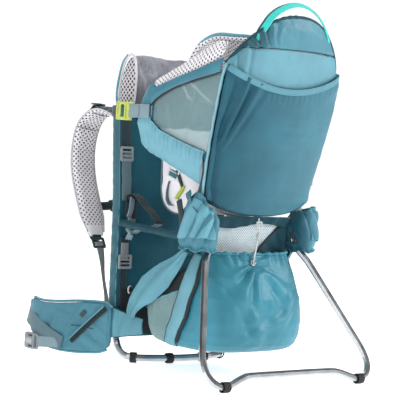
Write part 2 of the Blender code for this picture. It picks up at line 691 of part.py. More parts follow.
def build_seat():
    # seat: a sling with side walls
    def sling(u, v):
        y = -25.3 + 15.0 * v
        a = math.pi * (1 - u)
        w = 9.3 - 1.2 * v
        if u < 0.22:
            f = u / 0.22
            return (-w, y, SEAT_TOP - 1.6 * v + (36.2 - SEAT_TOP + 1.6 * v) * f)
        if u > 0.78:
            f = (1 - u) / 0.22
            return (w, y, SEAT_TOP - 1.6 * v + (36.2 - SEAT_TOP + 1.6 * v) * f)
        f = (u - 0.22) / 0.56
        a = math.pi * f
        return (-w * math.cos(a), y, 36.2 - 4.7 * math.sin(a) ** 0.75)
    make("child_seat", *sheet(sling, 18, 3, 1.0), "air_mesh", "seat_slide", sharp=50)

    half = [(4.6, -30.1, 57.5), (4.5, -28.5, 50.0), (4.0, -26.6, 43.5), (2.6, -24.4, 38.6), (1.2, -23.6, 37.2),
            (0, -23.4, 36.9)]
    path = catmull(mirrored(half), 2)
    make("seat_harness", *strap(path, lambda f: (1, -0.2, 0.0) if f < 0.34 or f > 0.66 else (0, 0.2, 1), 2.2, 0.25),
         "grey_webbing", "seat_slide")
    make("seat_buckle", *block((0, -22.35, 36.4), (1, 0, 0), (0, 0.05, 1), (1.6, 1.9, 0.42), 0.5, 0.12),
         "white_plastic", "seat_slide")

    # foot stirrups: triangular webbing loops
    for side_name, s in SIDES:
        way = [(-4.25, 33.9), (-4.7, 34.5), (-6.0, 34.0), (-9.6, 31.8), (-12.7, 29.9), (-13.2, 29.2),
               (-12.7, 28.7), (-9.6, 27.8), (-6.0, 26.8), (-4.7, 26.5), (-4.25, 27.1), (-4.2, 30.5)]
        loop = catmull([(s * 11.95, y, z) for y, z in way], 2, closed=True)
        make(f"stirrup_{side_name}", *strap(loop, (1, 0, 0), 2.1, 0.3, closed=True), "teal_fabric",
             f"stirrup_{side_name}_slide")


# --------------------------------------------------------------------- storage bag
def bag_ring(z, half_x, y_in, y_out, n=24, power=3.2):
    cy, half_y = (y_in + y_out) / 2, abs(y_in - y_out) / 2
    out = []
    for k in range(n):
        a = 2 * math.pi * (k + 0.5) / n
        c, s = math.cos(a), math.sin(a)
        out.append(Vector((half_x * math.copysign(abs(c) ** (2 / power), c),
                           cy + half_y * math.copysign(abs(s) ** (2 / power), s), z)))
    return out


def build_bag():
    table = ((BAG_BOTTOM, 10.6, -11.5, -31.0), (5.7, 11.9, -9.8, -32.8), (7.4, 12.7, -8.4, -34.4),
             (11.0, 13.0, -7.6, -35.0), (16.0, 13.0, -7.0, -34.6), (20.0, 12.6, -6.7, -33.0),
             (23.0, 11.7, -6.5, -31.4), (BAG_TOP, 11.2, -6.4, -30.3))
    t = 0.4

    def mouth(p):
        # the mouth dips towards the back panel
        top = 25.0 - 8.2 * max(0.0, min(1.0, (p.y + 24.5) / 17.5)) ** 1.1
        if p.z > 11.0:
            p.z = 11.0 + (p.z - 11.0) * (top - 11.0) / (BAG_TOP - 11.0)
        return p
    rings = [[mouth(p) for p in bag_ring(*row)] for row in table]
    inner = [[mouth(p) for p in bag_ring(z, hx - t, yi - t, yo + t)] for z, hx, yi, yo in table[:1:-1]]
    inner.append(bag_ring(6.4, 11.6, -10.0, -32.4))
    inner.append(bag_ring(5.7, 10.2, -11.8, -30.6))
    make("storage_bag", *loft(rings + inner), "teal_fabric")

    def mesh(u, v):
        x = (2 * u - 1) * 9.6
        return (x, -26.1 - 0.5 * (1 - (x / 9.6) ** 2), 25.5 + 4.7 * v)
    make("rear_mesh_panel", *sheet(mesh, 6, 2, 0.3), "grey_mesh")
    path = catmull([(-1.6, -31.9, 31.2), (-1.65, -31.6, 29.0), (-1.6, -31.3, 27.0), (-1.6, -31.2, 25.35)], 2)
    make("bag_hook", *tube(path, 0.28, 8, side_hint=(1, 0, 0)), "white_plastic")

    for side_name, s in SIDES:
        a, b = Vector((14.0, -24.2, 22.1)), Vector((14.0, -21.4, 24.9))
        c, d = Vector((14.5, -11.2, 9.4)), Vector((14.5, -8.0, 12.2))

        def flap(u, v, a=a, b=b, c=c, d=d, s=s):
            p = a.lerp(b, u).lerp(c.lerp(d, u), v)
            p.x += 0.7 * math.sin(math.pi * v)
            p.z -= 0.0
            return (s * p.x, p.y, p.z)
        make(f"side_flap_{side_name}", *sheet(flap, 3, 6, 0.4), "light_teal")

        # fabric sleeve around the pivot, open inwards for the rail
        plan = catmull([(s * x, y, 0) for x, y in
                        ((10.15, -26.6), (10.15, -29.6), (11.1, -30.85), (13.0, -31.0), (14.6, -30.6),
                         (15.25, -29.0), (15.3, -25.6))], 3)
        m = len(plan) - 1

        def sleeve(u, v, plan=plan, m=m, s=s):
            x = u * m
            i = min(int(x), m - 1)
            p = plan[i].lerp(plan[i + 1], x - i)
            return (p.x, p.y, 25.5 + 7.4 * v)
        make(f"pivot_sleeve_{side_name}", *sheet(sleeve, 12, 3, 0.35), "light_teal")


def main():
    clear_scene()
    EMPTIES.clear()
    empty("carrier_datum", (0, 0, 0))
    empty("kickstand_axis", (0, PIVOT[1], PIVOT[2]), "carrier_datum")
    empty("seat_slide", (0, -18.0, 34.0), "carrier_datum")
    empty("yoke_slide", (0, 0.5, 43.0), "carrier_datum")
    empty("sternum_slide", (0, 15.25, 30.6), "yoke_slide")
    empty("stirrup_left_slide", (-11.95, -4.2, 30.5), "carrier_datum")
    empty("stirrup_right_slide", (11.95, -4.2, 30.5), "carrier_datum")
    empty("zip_slide", (-19.3, 0.55, 9.3), "carrier_datum")
    build_frame()
    build_back()
    build_hips()
    build_cabin()
    build_seat()
    build_bag()
    EMPTIES["carrier_datum"][0].location = (0.0, DATUM_Y * CM, 0.0)
    bpy.context.view_layer.update()


main()
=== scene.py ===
import bpy, bmesh, math
import numpy as np
from mathutils import Vector, Matrix, noise


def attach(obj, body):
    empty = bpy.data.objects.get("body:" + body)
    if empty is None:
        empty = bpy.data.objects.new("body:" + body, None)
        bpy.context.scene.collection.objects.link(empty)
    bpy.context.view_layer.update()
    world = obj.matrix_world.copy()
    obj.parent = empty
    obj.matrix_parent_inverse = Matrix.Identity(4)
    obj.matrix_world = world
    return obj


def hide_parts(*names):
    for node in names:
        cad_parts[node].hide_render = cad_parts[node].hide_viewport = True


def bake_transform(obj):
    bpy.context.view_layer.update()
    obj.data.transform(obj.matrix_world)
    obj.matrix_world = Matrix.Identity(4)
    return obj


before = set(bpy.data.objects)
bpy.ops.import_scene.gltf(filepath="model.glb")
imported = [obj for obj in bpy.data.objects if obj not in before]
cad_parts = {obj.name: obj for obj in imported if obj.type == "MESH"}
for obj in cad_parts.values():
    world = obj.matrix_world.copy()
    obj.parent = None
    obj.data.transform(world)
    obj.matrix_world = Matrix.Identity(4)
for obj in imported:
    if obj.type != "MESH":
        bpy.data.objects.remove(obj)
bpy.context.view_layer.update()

# All shapes below are laid out in centimetres in the pack's design frame, the
# same one the CAD uses before it is centred; add_mesh() turns them into metres.
CM = 0.01
DY = 12.21979
rng = np.random.RandomState(7)


# =====================================================================
# materials
# =====================================================================
class Tree:
    def __init__(self, name):
        self.mat = bpy.data.materials.new(name)
        self.mat.use_nodes = True
        self.nt = self.mat.node_tree
        self.bsdf = self.nt.nodes["Principled BSDF"]

    def node(self, kind, **props):
        n = self.nt.nodes.new(kind)
        for k, v in props.items():
            setattr(n, k, v)
        return n

    def link(self, a, b):
        self.nt.links.new(a, b)

    def put(self, sock, value):
        if isinstance(value, bpy.types.NodeSocket):
            self.link(value, sock)
        elif isinstance(value, (tuple, list)):
            sock.default_value = value
        else:
            sock.default_value = value

    def math(self, op, a, b=0.0, c=0.0, clamp=False):
        n = self.node("ShaderNodeMath", operation=op, use_clamp=clamp)
        self.put(n.inputs[0], a)
        self.put(n.inputs[1], b)
        if len(n.inputs) > 2:
            self.put(n.inputs[2], c)
        return n.outputs[0]

    def mix(self, fac, a, b):
        n = self.node("ShaderNodeMix", data_type='RGBA')
        self.put(n.inputs[0], fac)
        self.put(n.inputs[6], a if isinstance(a, bpy.types.NodeSocket) else (*a, 1.0))
        self.put(n.inputs[7], b if isinstance(b, bpy.types.NodeSocket) else (*b, 1.0))
        return n.outputs[2]

    def ramp(self, fac, lo, hi):
        n = self.node("ShaderNodeMapRange")
        n.clamp = True
        n.interpolation_type = 'SMOOTHSTEP'
        self.put(n.inputs[0], fac)
        self.put(n.inputs[1], lo)
        self.put(n.inputs[2], hi)
        return n.outputs[0]

    def noise(self, scale, detail=2.0, rough=0.5, vec=None):
        n = self.node("ShaderNodeTexNoise")
        n.inputs["Scale"].default_value = scale
        n.inputs["Detail"].default_value = detail
        n.inputs["Roughness"].default_value = rough
        self.link(vec if vec is not None else self.obj(), n.inputs["Vector"])
        return n.outputs[0]

    def obj(self):
        if not hasattr(self, "_obj"):
            self._obj = self.node("ShaderNodeTexCoord").outputs["Object"]
        return self._obj

    def uv(self):
        if not hasattr(self, "_uv"):
            self._uv = self.node("ShaderNodeUVMap", uv_map="UVMap").outputs[0]
            sep = self.node("ShaderNodeSeparateXYZ")
            self.link(self._uv, sep.inputs[0])
            self._u, self._v = sep.outputs[0], sep.outputs[1]
        return self._u, self._v

    def bump(self, height, distance, strength=1.0, normal=None):
        n = self.node("ShaderNodeBump")
        n.inputs["Strength"].default_value = strength
        n.inputs["Distance"].default_value = distance
        self.link(height, n.inputs["Height"])
        if normal is not None:
            self.link(normal, n.inputs["Normal"])
        return n.outputs[0]

    def finish(self, colour, rough, normal=None, metallic=0.0, sheen=0.0, coat=0.0, spec=0.5, alpha=None):
        b = self.bsdf
        self.put(b.inputs["Base Color"], colour if isinstance(colour, bpy.types.NodeSocket) else (*colour, 1.0))
        self.put(b.inputs["Roughness"], rough)
        b.inputs["Metallic"].default_value = metallic
        b.inputs["Sheen Weight"].default_value = sheen
        b.inputs["Sheen Roughness"].default_value = 0.5
        b.inputs["Coat Weight"].default_value = coat
        b.inputs["Coat Roughness"].default_value = 0.12
        b.inputs["Specular IOR Level"].default_value = spec
        if alpha is not None:
            self.put(b.inputs["Alpha"], alpha)
        if normal is not None:
            self.link(normal, b.inputs["Normal"])
        return self.mat


def scaled(c, k):
    return tuple(min(1.0, x * k) for x in c)


def fabric(name, colour, ripstop=0.0, rough=0.56, sheen=0.04, crinkle=0.5, vary=0.12, spec=0.40, painted_shade=None):
    """Woven polyamide: 0.7 mm plain weave, optional 5 mm ripstop grid, faint crinkles."""
    t = Tree(name)
    u, v = t.uv()
    k = 2 * math.pi / 0.0008
    wave = t.math('MULTIPLY', t.math('SINE', t.math('MULTIPLY', u, k)), t.math('SINE', t.math('MULTIPLY', v, k)))
    weave = t.math('MULTIPLY_ADD', wave, 0.5, 0.5)
    blotch = t.noise(9.0, 3.0, 0.55)
    fine = t.noise(420.0, 2.0, 0.6)
    col = t.mix(t.ramp(blotch, 0.32, 0.70), scaled(colour, 1 - vary), scaled(colour, 1 + vary))
    col = t.mix(t.math('MULTIPLY', weave, 0.30), col, scaled(colour, 0.70))
    height = t.math('MULTIPLY', weave, 0.35)
    if ripstop:
        def line(x):
            f = t.math('FRACT', t.math('MULTIPLY', x, 1 / 0.005))
            d = t.math('ABSOLUTE', t.math('SUBTRACT', f, 0.5))
            return t.ramp(d, 0.40, 0.48)
        grid = t.math('MAXIMUM', line(u), line(v))
        col = t.mix(t.math('MULTIPLY', grid, ripstop), col, scaled(colour, 1.35))
        height = t.math('ADD', height, t.math('MULTIPLY', grid, 0.8))
    height = t.math('ADD', height, t.math('MULTIPLY', fine, 0.5))
    n1 = t.bump(height, 0.00018, 0.55)
    soft = t.noise(38.0, 3.0, 0.55)
    n2 = t.bump(soft, 0.0075 * crinkle, 0.45, n1)
    r = t.math('MULTIPLY_ADD', fine, 0.14, rough - 0.07)
    if painted_shade:
        # painted shade: a darker tone on the low-x side blends into the base tone across the width
        axes = t.node("ShaderNodeSeparateXYZ")
        t.link(t.obj(), axes.inputs[0])
        wob = t.math('MULTIPLY_ADD', blotch, 0.03, axes.outputs[0])
        shade = t.mix(t.ramp(blotch, 0.32, 0.70), scaled(painted_shade[0], 1 - vary), scaled(painted_shade[0], 1 + vary))
        col = t.mix(t.ramp(wob, painted_shade[1], painted_shade[2]), shade, col)
    return t.finish(col, r, n2, sheen=sheen, spec=spec)


def webbing(name, colour, edge=None, rough=0.68):
    """Narrow webbing: ribs across the width and fine warp lines along it."""
    t = Tree(name)
    u, v = t.uv()
    rib = t.math('MULTIPLY_ADD', t.math('SINE', t.math('MULTIPLY', v, 2 * math.pi / 0.0016)), 0.5, 0.5)
    warp = t.math('MULTIPLY_ADD', t.math('SINE', t.math('MULTIPLY', u, 2 * math.pi / 0.0021)), 0.5, 0.5)
    height = t.math('ADD', t.math('MULTIPLY', rib, 0.6), warp)
    col = t.mix(t.math('MULTIPLY', height, 0.35), scaled(colour, 0.72), scaled(colour, 1.15))
    col = t.mix(t.ramp(t.noise(60.0, 2.0), 0.35, 0.7), col, scaled(colour, 0.9))
    n = t.bump(height, 0.00025, 0.7)
    return t.finish(col, t.math('MULTIPLY_ADD', rib, 0.10, rough - 0.05), n, sheen=0.2, spec=0.3)


def dotted(name, colour, hole, pitch=0.0072, radius=0.25, use_uv=True, rough=0.85, side=False):
    """Spacer mesh: light knitted face with open dark cells on a lattice."""
    t = Tree(name)
    vor = t.node("ShaderNodeTexVoronoi", voronoi_dimensions='2D' if use_uv else '3D')
    vor.inputs["Scale"].default_value = 1.0
    vor.inputs["Randomness"].default_value = 0.0
    mp = t.node("ShaderNodeMapping")
    if side:
        axes = t.node("ShaderNodeSeparateXYZ")
        flat = t.node("ShaderNodeCombineXYZ")
        t.link(t.obj(), axes.inputs[0])
        t.link(axes.outputs[1], flat.inputs[0])
        t.link(axes.outputs[2], flat.inputs[1])
        t.link(flat.outputs[0], mp.inputs["Vector"])
    elif use_uv:
        t.uv()
        t.link(t._uv, mp.inputs["Vector"])
    else:
        t.link(t.obj(), mp.inputs["Vector"])
    s = 1.0 / pitch
    mp.inputs["Scale"].default_value = (s, s * (1.0 if use_uv else 1.0), s)
    mp.inputs["Rotation"].default_value = (0.0, 0.0, math.radians(45)) if use_uv else (0.6, 0.5, 0.4)
    t.link(mp.outputs[0], vor.inputs["Vector"])
    d = vor.outputs["Distance"]
    inside = t.math('SUBTRACT', 1.0, t.ramp(d, radius - 0.05, radius + 0.07))
    col = t.mix(t.math('MULTIPLY', t.ramp(t.noise(14.0, 2.0), 0.3, 0.7), 0.6), scaled(colour, 0.88), scaled(colour, 1.06))
    fuzz = t.noise(900.0, 2.0, 0.6)
    col = t.mix(t.math('MULTIPLY', fuzz, 0.25), col, scaled(colour, 0.7))
    col = t.mix(inside, col, hole)
    h = t.math('SUBTRACT', t.math('MULTIPLY', fuzz, 0.25), inside)
    n = t.bump(h, 0.0009, 0.8)
    return t.finish(col, rough, n, sheen=0.3, spec=0.2)


def fleece(name, colour):
    t = Tree(name)
    a = t.noise(170.0, 4.0, 0.65)
    b = t.noise(26.0, 4.0, 0.6)
    col = t.mix(t.ramp(b, 0.35, 0.68), scaled(colour, 0.62), scaled(colour, 1.20))
    col = t.mix(t.math('MULTIPLY', t.ramp(a, 0.35, 0.75), 0.5), col, scaled(colour, 1.35))
    # painted shade: the pile is darker towards the bottom of the pad
    axes = t.node("ShaderNodeSeparateXYZ")
    t.link(t.obj(), axes.inputs[0])
    wob = t.math('MULTIPLY_ADD', b, 0.03, axes.outputs[2])
    col = t.mix(t.ramp(wob, 0.555, 0.612), scaled(colour, 0.40), col)
    n1 = t.bump(a, 0.0016, 0.8)
    n2 = t.bump(b, 0.006, 0.5, n1)
    return t.finish(col, 0.96, n2, sheen=0.7, spec=0.1)


def metal(name, colour, rough=0.2, coat=0.6, metallic=1.0):
    t = Tree(name)
    mp = t.node("ShaderNodeMapping")
    t.link(t.obj(), mp.inputs["Vector"])
    n = t.noise(30.0, 4.0, 0.6, mp.outputs[0])
    scratch = t.noise(700.0, 3.0, 0.6)
    col = t.mix(t.ramp(n, 0.3, 0.75), scaled(colour, 0.85), scaled(colour, 1.15))
    r = t.math('MULTIPLY_ADD', n, 0.16, rough - 0.06)
    bmp = t.bump(scratch, 0.00012, 0.4)
    return t.finish(col, r, bmp, metallic=metallic, coat=coat, spec=0.5)


def plastic(name, colour, rough=0.42, grain=0.5):
    t = Tree(name)
    g = t.noise(1400.0, 2.0, 0.5)
    w = t.noise(45.0, 3.0, 0.55)
    col = t.mix(t.ramp(w, 0.35, 0.7), scaled(colour, 0.9), scaled(colour, 1.1))
    r = t.math('MULTIPLY_ADD', w, 0.16, rough - 0.08)
    return t.finish(col, r, t.bump(g, 0.00012 * grain, 0.6), spec=0.45)


def rubber(name, colour=(0.013, 0.013, 0.014)):
    t = Tree(name)
    g = t.noise(800.0, 3.0, 0.6)
    w = t.noise(60.0, 3.0, 0.6)
    col = t.mix(t.ramp(w, 0.35, 0.75), colour, scaled(colour, 2.4))
    return t.finish(col, t.math('MULTIPLY_ADD', w, 0.2, 0.62), t.bump(g, 0.0002, 0.6), spec=0.35)


def open_mesh(name, colour, hole, pitch=0.0030, alpha=None, diagonal=True, lining=None):
    """Net fabric: thin threads around square holes."""
    t = Tree(name)
    u, v = t.uv()
    if diagonal:
        a = t.math('ADD', u, v)
        b = t.math('SUBTRACT', u, v)
    else:
        a, b = u, v
    def thread(x):
        f = t.math('FRACT', t.math('MULTIPLY', x, 1 / pitch))
        return t.ramp(t.math('ABSOLUTE', t.math('SUBTRACT', f, 0.5)), 0.22, 0.36)
    g = t.math('MAXIMUM', thread(a), thread(b))
    col = t.mix(g, hole, colour)
    col = t.mix(t.math('MULTIPLY', t.ramp(t.noise(18.0, 3.0), 0.3, 0.75), 0.5), col, scaled(colour, 1.12))
    al = None
    if alpha is not None:
        al = t.math('MULTIPLY_ADD', g, 1.0 - alpha, alpha)
    if lining:
        # pale lining sewn behind the net: a low hem, and narrow folds above it
        axes = t.node("ShaderNodeSeparateXYZ")
        t.link(t.obj(), axes.inputs[0])
        y, z = axes.outputs[1], axes.outputs[2]
        wave_ = t.math('MULTIPLY_ADD', t.noise(34.0, 2.0), 0.014, z)
        low = t.math('SUBTRACT', t.math('MULTIPLY_ADD', y, lining[1], lining[2]), wave_)
        mask = t.ramp(low, -0.0015, 0.0025)
        for k, at in lining[3]:
            run_ = t.math('MULTIPLY_ADD', z, k, y)
            off = t.math('ABSOLUTE', t.math('SUBTRACT', run_, at))
            top = t.ramp(z, 0.530, 0.552)
            mask = t.math('MAXIMUM', mask, t.math('MULTIPLY', t.ramp(off, 0.0085, 0.0008), t.math('MULTIPLY', top, 0.75)))
        col = t.mix(t.math('MULTIPLY', mask, 0.62), col, lining[0])
    return t.finish(col, 0.7, t.bump(g, 0.0003, 0.6), sheen=0.2, spec=0.25, alpha=al)


M = {}
TEAL = (0.040, 0.165, 0.225)
MID_TEAL = (0.060, 0.215, 0.285)
LIGHT = (0.105, 0.300, 0.375)
LIGHT2 = (0.145, 0.360, 0.440)
DARK = (0.010, 0.045, 0.062)
# the pocket cloth is painted darker towards its near (left) side: painted shade in place of light falling from the
# right
M["pocket"] = fabric("ripstop_teal", (0.042, 0.170, 0.228), ripstop=0.14, rough=0.50, sheen=0.02, crinkle=0.35, spec=0.26, painted_shade=((0.008, 0.082, 0.124), -0.14, 0.15))
M["panel"] = fabric("coated_light_teal", (0.110, 0.300, 0.375), rough=0.48, sheen=0.04, crinkle=0.2)
# the dome cloth is painted darker towards its near shoulder: painted shade in the gathers
M["dome"] = fabric("dome_teal", (0.055, 0.215, 0.285), rough=0.5, sheen=0.04, crinkle=0.7, painted_shade=((0.012, 0.085, 0.118), -0.085, -0.035))
M["light"] = fabric("light_teal_fabric", LIGHT, rough=0.60, crinkle=0.4)
M["light2"] = fabric("pale_teal_fabric", LIGHT2, rough=0.60, crinkle=0.4)
M["teal"] = fabric("teal_fabric", MID_TEAL, ripstop=0.08, rough=0.6, crinkle=0.5)
M["bag"] = fabric("bag_ripstop", (0.030, 0.212, 0.292), ripstop=0.10, rough=0.46, sheen=0.04, crinkle=0.5)
M["dark"] = fabric("dark_teal_fabric", (0.012, 0.066, 0.092), rough=0.66, crinkle=0.5, spec=0.2)
M["back"] = fabric("back_cover_fabric", (0.010, 0.098, 0.142), rough=0.60, crinkle=0.8, spec=0.18)
M["back_side"] = fabric("back_cover_side_fabric", (0.030, 0.125, 0.160), rough=0.6, crinkle=0.6)
M["lining"] = fabric("black_lining", (0.010, 0.016, 0.020), rough=0.75, crinkle=0.5)
M["white_mesh"] = dotted("white_spacer_mesh", (0.82, 0.80, 0.84), (0.045, 0.045, 0.055))
M["white_mesh3"] = dotted("white_spacer_mesh_pad", (0.82, 0.80, 0.84), (0.045, 0.045, 0.055), use_uv=True, pitch=0.0075, radius=0.24)
M["white_mesh_end"] = dotted("white_spacer_mesh_end", (0.62, 0.60, 0.63), (0.03, 0.03, 0.04), side=True, pitch=0.0082, radius=0.33)
M["grey_mesh3"] = dotted("grey_spacer_mesh_pad", (0.22, 0.25, 0.27), (0.02, 0.025, 0.03), use_uv=True, pitch=0.0075, radius=0.27)
M["smooth_white"] = fabric("smooth_white_lining", (0.78, 0.76, 0.81), rough=0.7, sheen=0.4, crinkle=0.5, vary=0.05)
M["fleece"] = fleece("grey_fleece", (0.225, 0.232, 0.268))
M["window"] = open_mesh("window_net", (0.21, 0.335, 0.36), (0.09, 0.16, 0.175), pitch=0.0030, alpha=0.16,
                        lining=((0.56, 0.69, 0.71), 0.0, 0.4916, ((-1.03, -0.682), (-1.75, -1.1244))))
M["grey_net"] = open_mesh("grey_net", (0.58, 0.67, 0.71), (0.20, 0.27, 0.30), pitch=0.0058)
M["pocket_net"] = open_mesh("pocket_net", (0.19, 0.31, 0.32), (0.06, 0.12, 0.13), pitch=0.0034)
M["web_grey"] = webbing("grey_teal_webbing", (0.105, 0.180, 0.215))
M["web_pale"] = webbing("pale_webbing", (0.230, 0.330, 0.380))
M["web_light"] = webbing("grey_webbing", (0.26, 0.28, 0.30))
M["web_dark"] = webbing("dark_webbing", (0.012, 0.030, 0.038))
M["web_teal"] = webbing("teal_webbing", (0.035, 0.150, 0.190))
M["web_turq"] = webbing("turquoise_webbing", (0.035, 0.640, 0.580))
M["web_navy"] = webbing("navy_webbing", (0.020, 0.085, 0.120))
M["web_deep"] = webbing("deep_teal_webbing", (0.008, 0.036, 0.052))
M["web_hip"] = webbing("hip_belt_webbing", (0.105, 0.190, 0.230))
M["web_lime"] = webbing("lime_webbing", (0.42, 0.56, 0.04))
M["band_teal"] = fabric("wing_band_teal", (0.046, 0.200, 0.268), rough=0.56, crinkle=0.4)
M["binding"] = fabric("teal_binding", (0.085, 0.270, 0.345), rough=0.6, crinkle=0.3)
M["sleeve_near"] = fabric("near_sleeve_fabric", (0.042, 0.180, 0.240), rough=0.54, crinkle=0.5)
# the far sleeve's own copy of the sleeve cloth: painted shade, dark on its inner side and lighter outward
M["sleeve_far"] = fabric("far_sleeve_fabric", (0.075, 0.270, 0.345), rough=0.56, crinkle=0.5, painted_shade=((0.008, 0.088, 0.130), 0.125, 0.165))
M["piping_black"] = fabric("black_piping", (0.010, 0.014, 0.016), rough=0.6, crinkle=0.3)
M["piping_light"] = fabric("light_piping", (0.20, 0.42, 0.49), rough=0.6, crinkle=0.3)
M["piping_white"] = fabric("white_piping", (0.62, 0.61, 0.65), rough=0.65, crinkle=0.3)
M["thread"] = fabric("sewing_thread", (0.10, 0.28, 0.34), rough=0.7, crinkle=0.1)
M["thread_light"] = fabric("pale_thread", (0.38, 0.48, 0.52), rough=0.7, crinkle=0.1)
M["black_tube"] = metal("black_anodised_tube", (0.50, 0.52, 0.54), rough=0.30, coat=0.5)
M["grey_tube"] = metal("grey_anodised_tube", (0.50, 0.52, 0.54), rough=0.28, coat=0.4)
M["steel"] = metal("brushed_steel", (0.50, 0.51, 0.52), rough=0.32, coat=0.0)
M["rubber"] = rubber("black_rubber")
M["plastic_grey"] = plastic("grey_acetal", (0.235, 0.265, 0.285))
M["plastic_pale"] = plastic("pale_grey_acetal", (0.42, 0.45, 0.47))
M["plastic_dark"] = plastic("dark_green_acetal", (0.018, 0.050, 0.052))
M["plastic_black"] = plastic("black_acetal", (0.012, 0.013, 0.014))
M["plastic_lime"] = plastic("lime_acetal", (0.52, 0.60, 0.14), rough=0.38)
M["plastic_white"] = plastic("white_acetal", (0.66, 0.67, 0.68), rough=0.36)


# =====================================================================
# shape tools, all in design centimetres
# =====================================================================
def A(p):
    return np.array([tuple(q) for q in p], float) if not isinstance(p, np.ndarray) else p


def catmull(points, per=8, closed=False):
    pts = A(points)
    n = len(pts)
    out = []
    spans = n if closed else n - 1
    for i in range(spans):
        if closed:
            p0, p1, p2, p3 = pts[i - 1], pts[i], pts[(i + 1) % n], pts[(i + 2) % n]
        else:
            p1, p2 = pts[i], pts[i + 1]
            p0 = pts[i - 1] if i else 2 * p1 - p2
            p3 = pts[i + 2] if i + 2 < n else 2 * p2 - p1
        for s in range(per):
            t = s / per
            out.append(0.5 * (2 * p1 + (p2 - p0) * t + (2 * p0 - 5 * p1 + 4 * p2 - p3) * t * t
                              + (3 * p1 - p0 - 3 * p2 + p3) * t ** 3))
    if not closed:
        out.append(pts[-1])
    return np.array(out)


def resample(path, n, closed=False):
    p = np.vstack([path, path[:1]]) if closed else path
    d = np.r_[0, np.cumsum(np.linalg.norm(np.diff(p, axis=0), axis=1))]
    t = np.linspace(0, d[-1], n + 1 if closed else n)
    out = np.stack([np.interp(t, d, p[:, k]) for k in range(3)], 1)
    return out[:-1] if closed else out


class Curve:
    """Way points to a smooth curve read by its share of the length."""

    def __init__(self, pts, per=12):
        self.p = catmull(pts, per)
        d = np.r_[0, np.cumsum(np.linalg.norm(np.diff(self.p, axis=0), axis=1))]
        self.t = d / d[-1]
        self.length = d[-1]

    def __call__(self, t):
        t = np.clip(np.asarray(t, float), 0, 1)
        return np.stack([np.interp(t, self.t, self.p[:, k]) for k in range(3)], -1)


def unit(v):
    return v / np.maximum(np.linalg.norm(v, axis=-1, keepdims=True), 1e-9)


def tangents(path, closed=False):
    if closed:
        return unit(np.roll(path, -1, 0) - np.roll(path, 1, 0))
    return unit(np.gradient(path, axis=0))


STITCHES = {}


def add_mesh(name, verts, faces, mats, body, loop_uv=None, face_mat=None, smooth=True, sharp=None, check=True):
    me = bpy.data.meshes.new(name)
    v = (np.asarray(verts, float) + np.array([0, DY, 0])) * CM
    me.from_pydata(v.tolist(), [], faces)
    mats = mats if isinstance(mats, (list, tuple)) else [mats]
    for m in mats:
        me.materials.append(m)
    if face_mat is not None:
        me.polygons.foreach_set("material_index", np.asarray(face_mat, np.int32))
    if loop_uv is not None:
        lay = me.uv_layers.new(name="UVMap")
        lay.data.foreach_set("uv", np.asarray(loop_uv, np.float32).ravel())
    if check:
        bm = bmesh.new()
        bm.from_mesh(me)
        bmesh.ops.recalc_face_normals(bm, faces=bm.faces)
        if bm.calc_volume(signed=True) < 0:
            bmesh.ops.reverse_faces(bm, faces=bm.faces)
        bm.to_mesh(me)
        bm.free()
    ob = bpy.data.objects.new(name, me)
    bpy.context.collection.objects.link(ob)
    if smooth:
        me.shade_smooth()
        if sharp is not None:
            me.set_sharp_from_angle(angle=math.radians(sharp))
    if body is not None:
        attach(ob, body)
    return ob


def loft_data(rings, closed=False, cap=True):
    R = np.asarray(rings, float)
    m, n = R.shape[:2]
    verts = R.reshape(-1, 3)
    mid = R.mean(1)
    dv = np.r_[0, np.cumsum(np.linalg.norm(np.diff(np.vstack([mid, mid[:1]]) if closed else mid, axis=0), axis=1))] * CM
    seg = np.linalg.norm(np.roll(R, -1, 1) - R, axis=2).mean(0) * CM
    du = np.r_[0, np.cumsum(seg)]
    faces, uv = [], []
    for i in range(m if closed else m - 1):
        a, b = i * n, ((i + 1) % m) * n
        for j in range(n):
            k = (j + 1) % n
            faces.append((a + j, a + k, b + k, b + j))
            uv += [(du[j], dv[i]), (du[j + 1], dv[i]), (du[j + 1], dv[i + 1]), (du[j], dv[i + 1])]
    if not closed and cap:
        verts = np.vstack([verts, R[0].mean(0), R[-1].mean(0)])
        c0, c1 = m * n, m * n + 1
        for j in range(n):
            k = (j + 1) % n
            faces.append((c0, k, j))
            faces.append((c1, (m - 1) * n + j, (m - 1) * n + k))
            for _ in range(2):
                uv += [(du[j], 0), (du[j + 1], 0), (du[j], 0.001)]
    return verts, faces, uv


def loft(name, rings, mat, body, closed=False, sharp=None, face_mat=None):
    v, f, uv = loft_data(rings, closed)
    return add_mesh(name, v, f, mat, body, uv, face_mat, sharp=sharp)


def tube_rings(path, radius, sides=20, closed=False, squash=None):
    tan = tangents(path, closed)
    ref = np.array([0, 0, 1.0]) if abs(tan[0][2]) < 0.9 else np.array([1.0, 0, 0])
    u = unit(ref - tan[0] * ref.dot(tan[0]))
    us = []
    for t in tan:
        u = unit(u - t * u.dot(t))
        us.append(u)
    us = np.array(us)
    if closed:
        t = tan[0]
        uu = unit(us[-1] - t * us[-1].dot(t))
        tw = math.atan2(np.cross(us[0], uu).dot(t), us[0].dot(uu))
        n = len(us)
        for i in range(n):
            a = -tw * i / n
            us[i] = us[i] * math.cos(a) + np.cross(tan[i], us[i]) * math.sin(a)
    ws = np.cross(tan, us)
    ang = np.linspace(0, 2 * math.pi, sides, endpoint=False)
    rad = np.asarray(radius, float)
    rad = np.full(len(path), rad) if rad.ndim == 0 else rad
    return (path[:, None] + rad[:, None, None] * (us[:, None] * np.cos(ang)[None, :, None]
                                                   + ws[:, None] * np.sin(ang)[None, :, None]))


def tube(name, path, radius, mat, body, sides=20, closed=False):
    return loft(name, tube_rings(path, radius, sides, closed), mat, body, closed)


